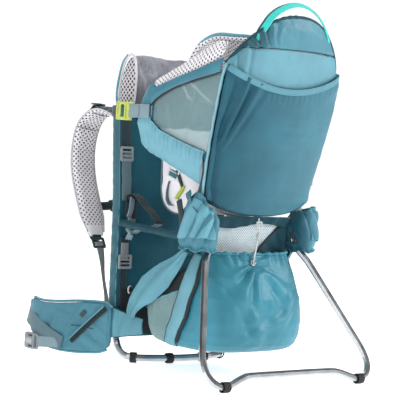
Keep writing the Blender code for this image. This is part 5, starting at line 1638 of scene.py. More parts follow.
# =====================================================================
# hip belt
# =====================================================================
def build_hips():
    for nm, s in SIDES:
        plan = catmull([(s * x, y, 0) for x, y in ((15.5, -4.4), (17.6, -0.8), (19.5, 3.4), (20.6, 8.0), (20.9, 12.6), (20.0, 16.8), (18.6, 19.2))], 5)
        count = len(plan)
        tan = tangents(plan)
        nv = np.stack([tan[:, 1], -tan[:, 0], 0 * tan[:, 0]], 1) * s
        F = np.linspace(0, 1, count)
        low = 1.9 - np.sin(math.pi * np.minimum(1, F * 1.25)) + 2.4 * np.maximum(0, (F - 0.8) / 0.2) ** 2
        high = 12.0 - 1.4 * F - 2.2 * np.maximum(0, (F - 0.85) / 0.15) ** 2
        low = low + 2.6 * np.maximum(0, (F - 0.60) / 0.40) ** 1.3 + 0.9 * np.maximum(0, 1 - F / 0.10) ** 2
        high = high + 0.30 * np.sin(F * 7.6) - 0.9 * np.maximum(0, 1 - F / 0.08) ** 2
        half_t = 0.75 - 0.30 * F
        rings = []
        for i in range(count):
            mid, hh = (low[i] + high[i]) / 2, (high[i] - low[i]) / 2 - 0.25
            ht = half_t[i] * 0.80
            rings.append([plan[i] + nv[i] * a + np.array([0, 0, mid + b]) for a, b in rounded(ht, hh, ht * 0.9, 3)])
        ob = loft(f"hip_wing_pad_{nm}", dense(rings, 0.38), M["teal"], "carrier")
        ob.parent = None
        puff(ob, pressure=4.0, cap=0.005, voxel=0.0, frames=14)
        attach(ob, "carrier")
        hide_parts(f"hip_wing_{nm}")
        me = ob.data
        me.materials.append(M["white_mesh3"])
        me.materials.append(M["lining"])
        cen = np.array([tuple(p.center) for p in me.polygons]) / CM - np.array([0, DY, 0])
        nor = np.array([tuple(p.normal) for p in me.polygons])
        near = np.argmin(((cen[:, None, :2] - plan[None, :, :2]) ** 2).sum(2), axis=1)
        facing = (nor * nv[near]).sum(1)
        idx = np.where(facing < -0.3, np.where(F[near] > 0.86, 2, 1), 0)
        me.polygons.foreach_set("material_index", idx.astype(np.int32))
        # outer fabric skin with pockets, folds and a diagonal zip
        nu2, nv2 = ((110, 60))
        U, V = uvgrid(nu2, nv2)
        Fi = 0.02 + 0.93 * U
        pl = np.stack([np.interp(Fi, F, plan[:, 0]), np.interp(Fi, F, plan[:, 1])], -1)
        nn = np.stack([np.interp(Fi, F, nv[:, 0]), np.interp(Fi, F, nv[:, 1])], -1)
        lo2, hi2 = np.interp(Fi, F, low) + 0.5, np.interp(Fi, F, high) - 0.5
        ht2 = np.interp(Fi, F, half_t)
        z = lo2 + (hi2 - lo2) * V
        arch = (np.sin(math.pi * np.clip(U, 0, 1)) * np.sin(math.pi * V)) ** 0.4
        q = 0.10 + 0.28 * arch
        base = np.stack([pl[..., 0], pl[..., 1], z], -1)
        q = q + 0.16 * fbm(base, 0.22, 40.0 + s) + 0.05 * fbm(base, 0.7, 3.0)
        q += 0.20 * np.sin(base[..., 1] * 1.5 + 0.5 * z) * sstep(base[..., 1], 6.0, 9.0) * arch
        q += 0.26 * np.sin(z * 1.9 - base[..., 1] * 1.1) * bell(base[..., 1], -1.2, 2.2) * sstep(z, 11.5, 9.0)
        q += 0.20 * bell(base[..., 1] + 0.55 * (z - 6.5), 3.6, 0.5) - 0.18 * bell(base[..., 1] + 0.55 * (z - 6.5), 2.4, 0.5)
        q -= 0.16 * bell(base[..., 1], -1.8, 0.35)
        off = ht2 + q
        P = np.stack([pl[..., 0] + nn[..., 0] * off, pl[..., 1] + nn[..., 1] * off, z], -1)
        outer = P if s > 0 else P[::-1]
        ob = grid(f"hip_wing_shell_{nm}", outer, 0.18, M["teal"], "carrier")
        N = nn
        # edge binding
        top = np.stack([plan[:, 0], plan[:, 1], high - 0.1], 1)
        bot = np.stack([plan[:, 0], plan[:, 1], low + 0.1], 1)
        end = np.array([[plan[-1, 0], plan[-1, 1], zz] for zz in np.linspace(high[-1] - 0.3, low[-1] + 0.3, 6)])
        loop = np.vstack([top, end[1:-1], bot[::-1]])
        tube(f"hip_wing_binding_{nm}", resample(catmull(loop[::2], 3), 150), 0.27, M["light"], "carrier", sides=10)

        # the free end rolls inwards and shows its dark lining
        U2, V2 = uvgrid(30, 20)
        ang_ = math.pi * (0.15 + 1.05 * U2)
        e0 = np.array([plan[-1, 0], plan[-1, 1]])
        cz = low[-1] + 0.5 + (high[-1] - low[-1] - 0.9) * V2
        C2 = np.stack([e0[0] - s * 0.85 + s * 0.85 * np.cos(ang_ * 0.9), e0[1] - 0.2 + 0.95 * np.sin(ang_) * (1 - 0.25 * V2), cz + 0.12 * np.sin(U2 * 6)], -1)
        grid(f"hip_wing_end_roll_{nm}", C2, 0.22, M["dark"], "carrier", back_mat=M["light"])

        # zip: dark tape, coil and the pocket's flap edge
        def on(yv, zv, lift=0.0):
            f = np.interp(yv, plan[:, 1], F)
            o = np.interp(f, F, half_t) + 0.74 + lift
            return np.array([np.interp(f, F, plan[:, 0]) + np.interp(f, F, nv[:, 0]) * o,
                             np.interp(f, F, plan[:, 1]) + np.interp(f, F, nv[:, 1]) * o, zv])
        T = np.linspace(0, 1, 40)
        ys, zs = -3.6 + 6.6 * T, 10.9 - 7.6 * T
        p = np.array([on(a, b, -0.06) for a, b in zip(ys, zs)])
        tdir = unit(np.gradient(p, axis=0))
        f_ = np.interp(ys, plan[:, 1], F)
        nz = np.stack([np.interp(f_, F, nv[:, 0]), np.interp(f_, F, nv[:, 1]), 0 * f_], 1)
        wdir = np.cross(tdir, nz)
        strap(f"hip_zip_tape_{nm}", p, lambda f: wdir[int(round(f * 39))], 1.0, 0.12, M["web_dark"], "carrier")
        pz = p + nz * 0.08
        zz = np.stack([p[:, 0], p[:, 1], p[:, 2]], 1)
        coil = resample(pz, 240)
        cn = np.stack([np.interp(np.linspace(0, 1, 240), T, nz[:, k]) for k in range(3)], 1)
        cw = np.stack([np.interp(np.linspace(0, 1, 240), T, wdir[:, k]) for k in range(3)], 1)
        ph = np.linspace(0, 240 / 6 * 2 * math.pi, 240)
        coil = coil + cw * (0.11 * np.sin(ph))[:, None] + cn * (0.035 * np.cos(ph))[:, None]
        tube(f"hip_zip_coil_{nm}", coil, 0.045, M["plastic_black"], "carrier", sides=6)
        lip = p + wdir * 0.62 + nz * 0.12
        tube(f"hip_zip_lip_{nm}", lip, 0.16, M["light"], "carrier", sides=8)
        stitches(p - wdir * 0.62 + nz * 0.16, nz, "carrier")
        # horizontal seam behind the zip
        ys2 = np.linspace(-1.5, 3.2, 24)
        p3 = np.array([on(a, 6.6 + 0.15 * math.sin(a), -0.03) for a in ys2])
        tube(f"hip_seam_{nm}", p3, 0.07, M["piping_black"], "carrier", sides=6)

        # webbing and buckle
        way = Curve([(s * x, y, z) for x, y, z in ((21.4, 4.6, 2.5), (22.05, 9.2, 4.1), (22.0, 13.2, 5.6), (21.1, 16.9, 6.6), (19.7, 19.55, 6.9))])
        T = np.linspace(0, 1, 40)
        ob = strap(f"hip_webbing_{nm}_run", way(T), (0, -0.35, 0.93), 3.3, 0.22, M["web_hip"], "carrier", stitch=1)
        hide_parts(f"hip_webbing_{nm}")
    # socket half with its mouth and side windows
    c = np.array((-22.45, 14.3, 1.95))
    ob = block("hip_socket_body", c, (0, 1, 0), (0, 0, 1), (1.75, 1.7, 0.45), M["plastic_grey"], "carrier", 0.55, 0.18)
    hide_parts("hip_buckle_socket")
    block("hip_socket_rib", c + np.array((-0.30, 0.1, 0)), (0, 1, 0), (0, 0, 1), (1.1, 0.55, 0.22), M["plastic_pale"], "carrier", 0.3, 0.1)
    for k in (-1, 1):
        block(f"hip_socket_window_{'a' if k < 0 else 'b'}", c + np.array((-0.28, -0.5, 1.1 * k)), (0, 1, 0), (0, 0, 1), (0.75, 0.22, 0.20),
              M["plastic_black"], "carrier", 0.15, 0.05)
    bar_ring("hip_socket_loop", c + np.array((0, -2.05, 0)), (0, 0, 1), (0, 1, 0), (1.6, 0.7), (1.2, 0.28), 0.38, M["plastic_grey"], "carrier")
    strap("hip_buckle_tab_left", np.array([c + (0.05, -1.9, 0), c + (0.35, -3.2, 0.15), c + (0.75, -5.4, 0.35), c + (1.2, -8.0, 0.5)]), (0, -0.1, 1), 2.2, 0.22,
          M["web_teal"], "carrier", stitch=1)
    strap("hip_buckle_link_left", Curve([c + (0.0, -2.3, 0.2), c + (0.25, -4.6, 0.35), (-21.55, 5.6, 2.7)])(np.linspace(0, 1, 16)), (0, -0.2, 1), 2.2, 0.2, M["web_pale"], "carrier")
    c = np.array((22.45, 14.3, 1.95))
    ob = block("hip_plug_body", c + np.array((0, -0.8, 0)), (0, 1, 0), (0, 0, 1), (1.2, 1.55, 0.40), M["plastic_grey"], "carrier", 0.4, 0.14)
    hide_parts("hip_buckle_plug")
    for k in (-1, 1):
        p = Curve([c + (0, 0.2, 1.15 * k), c + (0, 1.2, 1.35 * k), c + (0, 2.05, 1.1 * k)])(np.linspace(0, 1, 16))
        strap(f"hip_plug_prong_{'a' if k < 0 else 'b'}", p, (0, 0, 1), 0.55, 0.5, M["plastic_grey"], "carrier")
    p = np.array([c + (0, 0.2, 0), c + (0, 1.2, 0), c + (0, 1.9, 0)])
    strap("hip_plug_tongue", p, (0, 0, 1), 0.45, 0.35, M["plastic_grey"], "carrier")
    strap("hip_buckle_link_right", Curve([c + (0, -1.9, 0.1), c + (-0.25, -4.4, 0.3), (21.55, 5.6, 2.7)])(np.linspace(0, 1, 16)), (0, -0.2, 1), 2.2, 0.2, M["web_pale"], "carrier")

    # hip joint blocks: fabric cuffs where the belt wraps the foot of the frame
    for nm, s in SIDES:
        outline = Curve([(s * 14.7, 2.2, 0), (s * 15.05, 0.0, 0), (s * 15.15, -3.0, 0), (s * 14.9, -6.2, 0), (s * 14.2, -9.4, 0), (s * 13.1, -11.6, 0)])
        U, V = uvgrid(54, 24)
        c = outline(U)
        yy = c[..., 1]
        z0 = np.interp(yy, [-12, -6, -3, 2.5], [6.6, 5.3, 4.9, 4.6])
        z1 = np.interp(yy, [-12, -6, -3, 2.5], [9.4, 10.6, 11.0, 11.6])
        z = z0 + (z1 - z0) * V
        P = np.stack([c[..., 0] + s * (0.32 * np.sin(math.pi * V) - 0.35 * bell(yy, -5.6, 0.35) + 0.12 * np.sin(yy * 2.4 + V * 3)), yy, z], -1)
        P[..., 0] += s * 0.08 * fbm(P, 0.5, 7.0)
        ob = grid(f"hip_joint_cuff_{nm}", P if s < 0 else P[::-1], 0.42, M["light"], "carrier")
        for j, tg in ((0, "low"), (-1, "high")):
            tube(f"hip_joint_edge_{nm}_{tg}", P[:, j], 0.2, M["dark"], "carrier", sides=8)


# =====================================================================
# child's seat and stirrups
# =====================================================================
def build_seat():
    # sling: closed thick sheet, inflated
    U, V = uvgrid(46, 20)
    y = -24.9 + 14.2 * V
    w = 8.9 - 1.1 * V
    a = math.pi * np.clip((U - 0.24) / 0.52, 0, 1)
    x = -w * np.cos(a)
    z = 36.4 - 4.5 * np.sin(a) ** 0.75
    zt = 42.4 - 1.6 * V
    z = np.where(U < 0.24, zt + (36.4 - zt) * (U / 0.24), np.where(U > 0.76, zt + (36.4 - zt) * ((1 - U) / 0.24), z))
    P = np.stack([x, y, z], -1)
    v_, f_, uv_, side, N = grid_data(P, 0.62)
    ob = add_mesh("child_seat_sling", v_, f_, [M["smooth_white"]], "child_seat_unit", uv_)
    ob.parent = None
    puff(ob, pressure=3.0, cap=0.004, voxel=0.0, frames=12)
    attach(ob, "child_seat_unit")
    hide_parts("child_seat")
    # side pads of the seat, white brushed cloth with a rounded lower corner
    for nm, s in SIDES:
        out = catmull([(0, -10.9, 43.6), (0, -10.8, 39.0), (0, -11.3, 34.8), (0, -13.0, 32.4), (0, -16.1, 31.4), (0, -19.5, 32.0), (0, -21.8, 34.4),
                       (0, -23.4, 38.2), (0, -23.8, 42.0), (0, -22.4, 44.2), (0, -17.0, 44.6), (0, -12.6, 44.6)], 5, closed=True)
        c = out.mean(0)
        rings = []
        for off, k in ((-0.30, 0.0), (-0.36, 0.35), (-0.38, 0.68), (-0.34, 0.90), (-0.16, 0.985), (0.0, 1.0), (0.16, 0.985), (0.34, 0.90), (0.38, 0.68), (0.36, 0.35), (0.30, 0.0)):
            q = c + (out - c) * max(k, 0.02)
            q[:, 0] = s * (10.05 + off * s * -1 * -1)
            rings.append(q)
        ob = loft(f"seat_side_pad_{nm}", rings, M["smooth_white"], "child_seat_unit")
        ob.parent = None
        puff(ob, pressure=4.0, cap=0.005, voxel=0.0, frames=14)
        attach(ob, "child_seat_unit")
        q = c + (out - c) * 1.0
        q[:, 0] = s * 10.1
        tube(f"seat_side_piping_{nm}", q, 0.16, M["web_grey"], "child_seat_unit", 8, closed=True)
        # straps and buckles on the seat's side
        xs = s * 10.95
        bar_ring(f"seat_side_lock_{nm}", (xs, -15.7, 39.5), (0, -1, -0.28), (0, -0.28, 1), (1.9, 1.35), (1.35, 0.85), 0.34, M["plastic_white"], "child_seat_unit", bars=(0.2,))
        strap(f"seat_side_tab_{nm}", np.array([(xs - s * 0.25, -13.2, 39.5), (xs - s * 0.1, -14.6, 39.4), (xs, -16.0, 39.1), (xs - s * 0.1, -17.4, 38.6)]), (0, 0.2, 1), 1.7, 0.24, M["web_teal"], "child_seat_unit", stitch=1)
        strap(f"seat_side_black_{nm}", Curve([(xs - s * 0.25, -16.2, 41.8), (xs, -17.0, 39.9), (xs + s * 0.1, -18.0, 38.2), (xs, -18.9, 36.6)])(np.linspace(0, 1, 24)), (0, 1, 0.4), 0.9, 0.2, M["web_dark"], "child_seat_unit")
        strap(f"seat_side_lime_{nm}", Curve([(xs, -19.2, 37.2), (xs + s * 0.15, -18.7, 36.2), (xs + s * 0.15, -17.8, 35.3), (xs, -17.0, 34.5)])(np.linspace(0, 1, 20)), (0.2, 0.6, 0.8), 0.95, 0.22, M["web_lime"], "child_seat_unit")
        block(f"seat_side_buckle_{nm}", (xs + s * 0.05, -17.2, 33.7), (0, 1, 0.2), (0, -0.2, 1), (1.0, 0.75, 0.30), M["plastic_white"], "child_seat_unit", 0.3, 0.1)
        strap(f"seat_side_loop_{nm}", Curve([(xs - s * 0.2, -14.6, 37.8), (xs - s * 0.1, -14.2, 36.0), (xs, -14.4, 34.2), (xs, -15.3, 33.2), (xs - s * 0.1, -16.8, 33.2)])(np.linspace(0, 1, 30)),
              (1.0, 0.35, 0.2), 1.5, 0.2, M["web_grey"], "child_seat_unit")

    # harness straps over the child's shoulders, joined at the crotch buckle
    half = [(4.6, -30.1, 57.5), (4.5, -28.5, 50.0), (4.0, -26.6, 43.5), (2.6, -24.4, 38.6), (1.2, -23.6, 37.2), (0, -23.4, 36.9)]
    path = resample(catmull(mirrored(half), 8), 90)
    ob = strap("seat_harness_webbing", path, lambda f: (1, -0.2, 0.0) if f < 0.34 or f > 0.66 else (0, 0.2, 1), 2.1, 0.22, M["web_dark"], "child_seat_unit", stitch=1)
    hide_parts("seat_harness")
    for nm, s in SIDES:
        p = Curve([(s * 4.55, -29.3, 55.5), (s * 4.5, -28.2, 51.0), (s * 4.2, -27.0, 46.5)])(np.linspace(0, 1, 18))
        rings = []
        tan = tangents(p)
        for i in range(18):
            f = i / 17
            k = 0.7 + 0.3 * math.sin(math.pi * f) ** 0.4
            w_ = unit(np.array([1.0, -0.1, 0]) - tan[i] * tan[i].dot([1.0, -0.1, 0]))
            n_ = np.cross(tan[i], w_)
            rings.append([p[i] + w_ * a * k + n_ * b * k for a, b in rounded(1.75, 0.42, 0.4, 3)])
        ob = loft(f"seat_harness_pad_{nm}", rings, M["white_mesh"], "child_seat_unit")
        strap(f"seat_harness_lime_{nm}", Curve([(s * 4.3, -26.0, 45.3), (s * 4.2, -25.6, 43.9), (s * 4.3, -25.5, 42.3)])(np.linspace(0, 1, 12)), (1, 0, 0), 1.0, 0.2, M["web_lime"], "child_seat_unit")
    c = (0, -22.35, 36.4)
    ob = block("seat_buckle_body", c, (1, 0, 0), (0, 0.05, 1), (1.5, 1.8, 0.38), M["plastic_white"], "child_seat_unit", 0.5, 0.14)
    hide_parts("seat_buckle")
    block("seat_buckle_button", (0, -21.92, 36.2), (1, 0, 0), (0, 0.05, 1), (0.7, 0.6, 0.14), M["plastic_lime"], "child_seat_unit", 0.2, 0.05)

    # foot stirrups: webbing triangles and bunched adjuster
    for nm, s in SIDES:
        body = f"stirrup_{nm}_unit"
        way = [(-4.25, 33.9), (-4.7, 34.5), (-6.0, 34.0), (-9.6, 31.8), (-12.7, 29.9), (-13.2, 29.2),
               (-12.7, 28.7), (-9.6, 27.8), (-6.0, 26.8), (-4.7, 26.5), (-4.25, 27.1), (-4.2, 30.5)]
        loop = resample(catmull([(s * 11.95, y, z) for y, z in way], 6, closed=True), 110, closed=True)
        loop[:, 2] += 0.10 * np.sin(loop[:, 1] * 1.6)
        up = loop[:, 2] > 29.3
        v_ = None
        tan = tangents(loop, True)
        wv = np.tile(np.array([s * 1.0, 0.0, 0.0]), (110, 1))
        nn = np.cross(tan, wv)
        sec = section(1.0, 0.13, 3)
        R = loop[:, None] + wv[:, None] * sec[None, :, :1] + nn[:, None] * sec[None, :, 1:]
        fm = []
        for i in range(110):
            fm += [0 if up[i] else 1] * R.shape[1]
        ob = loft(f"stirrup_webbing_{nm}", R, [M["web_dark"], M["web_pale"]], body, closed=True, face_mat=fm)
        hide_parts(f"stirrup_{nm}")
        # bunched pale webbing at the root
        for q, (dy, dz, ph) in enumerate(((-4.9, 27.6, 0.0), (-5.2, 26.0, 1.4))):
            U, V = uvgrid(24, 26)
            P = np.stack([s * (13.15 + 0.35 * np.sin(U * 9 + ph) + 0.25 * V), dy + 0.5 * np.sin(V * 6 + ph) - 1.2 * U * (1 - V), dz - 0.9 + 3.2 * V - 1.5 * U * V], -1)
            grid(f"stirrup_bunch_{nm}_{q}", P, 0.22, M["web_pale"], body)
        p = Curve([(s * 12.6, -4.9, 33.6), (s * 13.3, -5.6, 31.4), (s * 13.2, -4.9, 29.6), (s * 12.9, -5.6, 28.0)])(np.linspace(0, 1, 24))
        strap(f"stirrup_adjuster_{nm}", p, (1, 0.4, 0), 1.7, 0.2, M["web_pale"], body)
        p = Curve([(s * 13.9, -4.4, 33.0), (s * 14.0, -5.0, 30.6), (s * 13.9, -5.2, 28.6), (s * 14.1, -4.6, 27.0)])(np.linspace(0, 1, 24))
        tube(f"stirrup_cord_{nm}", p, 0.16, M["piping_black"], body, sides=8)
        bar_ring(f"stirrup_slider_{nm}", (s * 12.6, -4.55, 33.4), (1, 0, 0), (0, 0, 1), (1.4, 0.8), (1.05, 0.4), 0.3, M["plastic_black"], body, bars=(0.0,))


# =====================================================================
# storage bag, flaps, sleeves
# =====================================================================
BAG_ROWS = np.array([(5.2, 10.6, -11.5, -31.0), (5.45, 11.3, -10.6, -32.0), (5.9, 12.0, -9.7, -33.0), (6.8, 12.5, -8.8, -34.0), (8.6, 12.9, -8.0, -34.7),
                     (11.0, 13.0, -7.6, -35.0), (16.0, 13.0, -7.0, -34.6), (20.0, 12.6, -6.7, -33.0), (23.0, 11.7, -6.5, -31.4), (24.6, 11.25, -6.4, -30.5)])
GROMMET = (-1.8, 23.0)


def bag_row(z):
    r = BAG_ROWS
    return [np.interp(z, r[:, 0], r[:, k]) for k in (1, 2, 3)]


def bag_point(ang, z, power=3.2):
    hx, yi, yo = bag_row(z)
    cy, hy = (yi + yo) / 2, np.abs(yi - yo) / 2
    c, s = np.cos(ang), np.sin(ang)
    return np.stack([hx * np.sign(c) * np.abs(c) ** (2 / power), cy + hy * np.sign(s) * np.abs(s) ** (2 / power), z + 0 * ang], -1)


def build_bag():
    n, m = ((300, 120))
    # angle grid, even all round; rows closer near the foot
    ang = np.linspace(0, 2 * math.pi, n, endpoint=False)
    zz = np.concatenate([np.linspace(5.2, 7.0, m // 5), np.linspace(7.0, 24.6, m - m // 5)[1:]])
    A_, Z = np.meshgrid(ang, zz, indexing='ij')
    P = bag_point(A_, Z)
    # outward normals
    dA = np.roll(P, -1, 0) - np.roll(P, 1, 0)
    dZ = np.gradient(P, axis=1)
    N = unit(np.cross(dA, dZ))
    x, y, z = P[..., 0], P[..., 1], P[..., 2]
    front = sstep(-N[..., 1], 0.2, 0.8)
    gx, gz = GROMMET
    r = np.hypot(x - gx, z - gz)
    th = np.arctan2(x - gx, gz - z)
    fan = np.zeros_like(r)
    for a0, wd_, amp, far in ((-0.62, 0.13, 0.9, 15.0), (-0.36, 0.10, -0.7, 12.0), (-0.10, 0.11, 0.55, 11.0), (0.10, 0.09, -0.55, 13.0), (0.30, 0.13, 0.7, 12.0),
                              (0.56, 0.12, -0.85, 11.0), (0.86, 0.15, 0.9, 9.5), (1.15, 0.10, -0.7, 7.5), (-0.92, 0.12, -0.8, 10.0), (-1.18, 0.12, 0.6, 6.0)):
        fan = fan + amp * bell(th, a0, wd_ * (1 + 1.2 / np.maximum(r, 1.0))) * np.exp(-(r / far) ** 2)
    fan = fan * sstep(r, 0.4, 2.2)
    d = front * 0.85 * fan
    d += front * 0.30 * np.sin(th * 11 + 1.0) * np.exp(-(r / 4.0) ** 2) * sstep(r, 0.3, 1.2)
    d -= front * 0.85 * np.exp(-(r / 1.3) ** 2)
    # elastic gathers under the mouth
    top = sstep(z, 21.5, 24.4)
    d += top * 0.22 * np.sin(x * 3.1 + 0.8 * np.sin(x)) * front
    d += sstep(z, 20.5, 24.4) * (1 - front) * 0.15 * np.sin(y * 2.2)
    # slumped folds right of the grommet and low creases
    d += front * 0.42 * bell(x - 0.30 * (z - 18) - 6.0, 0, 1.0) * sstep(z, 9, 14) - front * 0.38 * bell(x - 0.34 * (z - 18) - 8.2, 0, 0.8) * sstep(z, 10, 15)
    d += front * 0.30 * bell(x + 0.45 * (z - 14) + 4.6, 0, 1.0) * sstep(z, 5.5, 10) * sstep(z, 22, 17)
    d -= front * 0.34 * bell(x + 0.52 * (z - 14) + 7.2, 0, 0.9) * sstep(z, 5.5, 10)
    d += 0.24 * fbm(P, 0.13, 51.0) + 0.06 * fbm(P, 0.45, 52.0)
    d += 0.35 * np.exp(-((z - 9.0) / 4.0) ** 2) * front
    d += front * 0.34 * bell(z - 0.42 * (x + 4.0), 9.0, 0.9) * sstep(x, -9.0, -3.0) * sstep(x, 9.0, 5.0)
    d -= front * 0.30 * bell(z - 0.42 * (x + 4.0), 10.7, 0.8) * sstep(x, -8.0, -3.0) * sstep(x, 8.0, 4.0)
    d *= sstep(z, 5.0, 6.4)
    P = P + N * np.clip(d, -0.95, 0.85)[..., None]
    # the mouth drops towards the wearer
    lip = np.interp(P[..., 1], [-25.0, -23.3, -15.6, -10.8, -9.1, -6.4], [24.6, 24.0, 20.8, 18.0, 16.6, 16.2][::1][::-1][::-1])
    P[..., 2] = np.where(P[..., 2] > 11.0, 11.0 + (P[..., 2] - 11.0) * (lip - 11.0) / 13.6, P[..., 2])
    # rings from the mouth down, over the bottom and up inside
    outer = [P[:, j] for j in range(P.shape[1])][::-1]
    bottom = []
    for k in (0.86, 0.6, 0.3):
        q = bag_point(ang, np.full(n, 5.2))
        c = q.mean(0)
        b = c + (q - c) * k
        b[:, 2] = 5.08 - 0.06 * (1 - k)
        bottom.append(b)
    up = []
    for k in (0.3, 0.6, 0.84):
        q = bag_point(ang, np.full(n, 5.2))
        c = q.mean(0)
        b = c + (q - c) * k
        b[:, 2] = 5.42
        up.append(b)
    inner = [P[:, j] - N[:, j] * 0.32 + np.array([0, 0, 0.18 if j < 3 else 0.0]) for j in range(2, P.shape[1])]
    rim_o = P[:, -1] + np.array([0, 0, 0.12]) - N[:, -1] * 0.06
    rim_i = P[:, -1] + np.array([0, 0, 0.12]) - N[:, -1] * 0.26
    ringlist = up[::-1][::-1] + inner + [rim_i, rim_o] + outer + bottom
    R = np.array(ringlist)
    n_in = len(up) + len(inner)
    fm = []
    for i in range(R.shape[0] - 1):
        fm += [1 if i < n_in else 0] * n
    fm += [1] * (2 * n)
    ob = loft("storage_bag_shell", R, [M["bag"], M["lining"]], "carrier", face_mat=fm)
    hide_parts("storage_bag")

    # elastic hem round the mouth
    hem = P[:, -1] + N[:, -1] * 0.05
    hem[:, 2] += 0.05
    rad = 0.30 + 0.06 * np.sin(np.arange(n) * 2 * math.pi * 46 / n)
    tube("bag_mouth_elastic", hem, rad, M["bag"], "carrier", 10, closed=True)

    # near and far sides: mesh pocket, pale strip and dark zipped gap
    for nm, s in SIDES:
        def side_pt(Y, z, out=0.0):
            """Bag's side surface at depth Y and height z."""
            hx, yi, yo = bag_row(z)
            cy, hy = (yi + yo) / 2, np.abs(yi - yo) / 2
            q = np.clip(np.abs((Y - cy) / hy), 0, 0.9995)
            x = hx * (1 - q ** 3.2) ** (1 / 3.2)
            return np.stack([s * (x + out), Y, z + 0 * Y], -1)
        # pocket of grey net low on the side
        U, V = uvgrid(50, 44)
        zl = 5.7 + 0.5 * (1 - U)
        zt = 11.4 + 5.2 * U
        z = zl + (zt - zl) * V
        y0 = np.interp(z, [5, 7, 9, 12, 17], [-12.6, -10.6, -9.9, -9.4, -10.2])
        y1 = np.interp(z, [5, 9, 14, 17], [-19.4, -20.2, -21.8, -22.7])
        Y = y0 + (y1 - y0) * U
        P2 = side_pt(Y, z, 0.0)
        P2[..., 0] += s * (0.30 + 0.55 * np.sin(math.pi * U) * V ** 0.5 + 0.16 * np.sin(Y * 2.3) * V)
        ob = grid(f"bag_side_pocket_{nm}", P2 if s < 0 else P2[::-1], 0.10, M["pocket_net"], "carrier", back_mat=M["lining"])
        tube(f"bag_side_pocket_hem_{nm}", P2[:, -1], 0.20, M["light"], "carrier", sides=8)
        # pale strip, like a folded gusset, from under the sleeve to the foot of the bag
        T = np.linspace(0, 1, 60)
        line = np.stack([np.interp(T, [0, 0.25, 0.6, 1], [-25.4, -25.2, -23.0, -19.6]), np.interp(T, [0, 0.25, 0.6, 1], [24.2, 19.0, 11.6, 5.6])], 1)
        wd = np.interp(T, [0, 0.2, 0.6, 1], [0.8, 1.5, 1.7, 1.3])
        U, V = uvgrid(60, 14)
        Y = line[:, :1] + (V - 0.5) * 2 * wd[:, None]
        z = line[:, 1:] + (V - 0.5) * 0.6
        P3 = side_pt(Y, z)
        P3[..., 0] += s * (0.42 + 0.40 * np.sin(math.pi * V) + 0.12 * np.sin(T * 26)[:, None] * (V - 0.2) + 0.10 * fbm(P3, 0.4, 71.0))
        ob = grid(f"bag_side_gusset_{nm}", P3 if s < 0 else P3[::-1], 0.26, M["light2"], "carrier")
        q = P3[:, -1] + np.array([s * 0.0, 0.05, 0])
        tube(f"bag_side_zip_{nm}", P3[2:-4, 0] + np.array([-s * 0.05, -0.55, 0]), 0.30, M["piping_black"], "carrier", sides=8)
        tube(f"bag_side_cord_{nm}", P3[:, -1] + np.array([s * 0.02, 0.18, 0]), 0.12, M["piping_black"], "carrier", sides=8)
        # flap: a twisted band from the sleeve to the frame's foot
        cen = Curve([(s * 13.9, -25.0, 24.6), (s * 14.1, -21.8, 21.4), (s * 14.6, -16.6, 17.6), (s * 14.8, -11.9, 13.9), (s * 14.7, -9.9, 11.6), (s * 14.6, -9.2, 9.9)])
        T = np.linspace(0, 1, 70)
        c = cen(T)
        tn = tangents(c)
        wdir = unit(np.cross(tn, np.array([s * 1.0, 0, 0])))
        hw = np.interp(T, [0, 0.12, 0.35, 0.62, 0.85, 1.0], [1.1, 1.7, 2.5, 2.7, 1.7, 0.9])
        nV = 26
        Vv = np.linspace(-1, 1, nV)
        # its lower edge stays short of the folded leg
        low = np.interp(T, [0, 0.12, 0.30, 0.38, 0.62, 0.85, 1.0], [0.15, 0.70, 1.85, 2.5, 2.7, 1.7, 0.9])
        wide = np.where(Vv[None] * s > 0, low[:, None], hw[:, None])
        P4 = c[:, None] + wdir[:, None] * (Vv[None, :, None] * wide[..., None])
        bul = (0.75 * np.sin(math.pi * T) ** 0.7)[:, None] * (1 - Vv[None] ** 2)
        bul = bul + 0.32 * np.sin(Vv[None] * 4.2 + T[:, None] * 5.5) * np.sin(math.pi * T)[:, None] ** 0.5 + 0.24 * np.sin(Vv[None] * 9 + 1.0) * (sstep(T, 0.35, 0.0) + sstep(T, 0.75, 1.0))[:, None]
        P4[..., 0] += s * bul
        P4[..., 0] += s * 0.12 * fbm(P4, 0.3, 81.0)
        ob = grid(f"side_flap_cloth_{nm}", P4[::-1], 0.26, M["light"], "carrier", back_mat=M["dark"])
        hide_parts(f"side_flap_{nm}")
        for j, tg in ((0, "a"), (-1, "b")):
            tube(f"side_flap_hem_{nm}_{tg}", P4[:, j], 0.17, M["light"], "carrier", sides=8)
        # dark sheet between the flap and the bag: painted shadow under the flap
        a_, b_ = P4[:, 0 if P4[35, 0, 2] < P4[35, -1, 2] else -1], None
        U, V = uvgrid(40, 14)
        yb = lerp(-24.8, -12.0, U)
        zb1 = np.interp(yb, [-25, -20, -15, -12], [22.6, 18.4, 14.4, 12.0])
        zb0 = np.interp(yb, [-25, -22, -18, -12], [18.5, 15.0, 11.5, 9.6])
        zb = zb0 + (zb1 - zb0) * V
        P5 = side_pt(yb, zb)
        P5[..., 0] += s * (0.20 + 0.35 * V * np.sin(math.pi * U))
        grid(f"bag_side_lining_{nm}", P5 if s > 0 else P5[::-1], 0.14, M["lining"], "carrier")

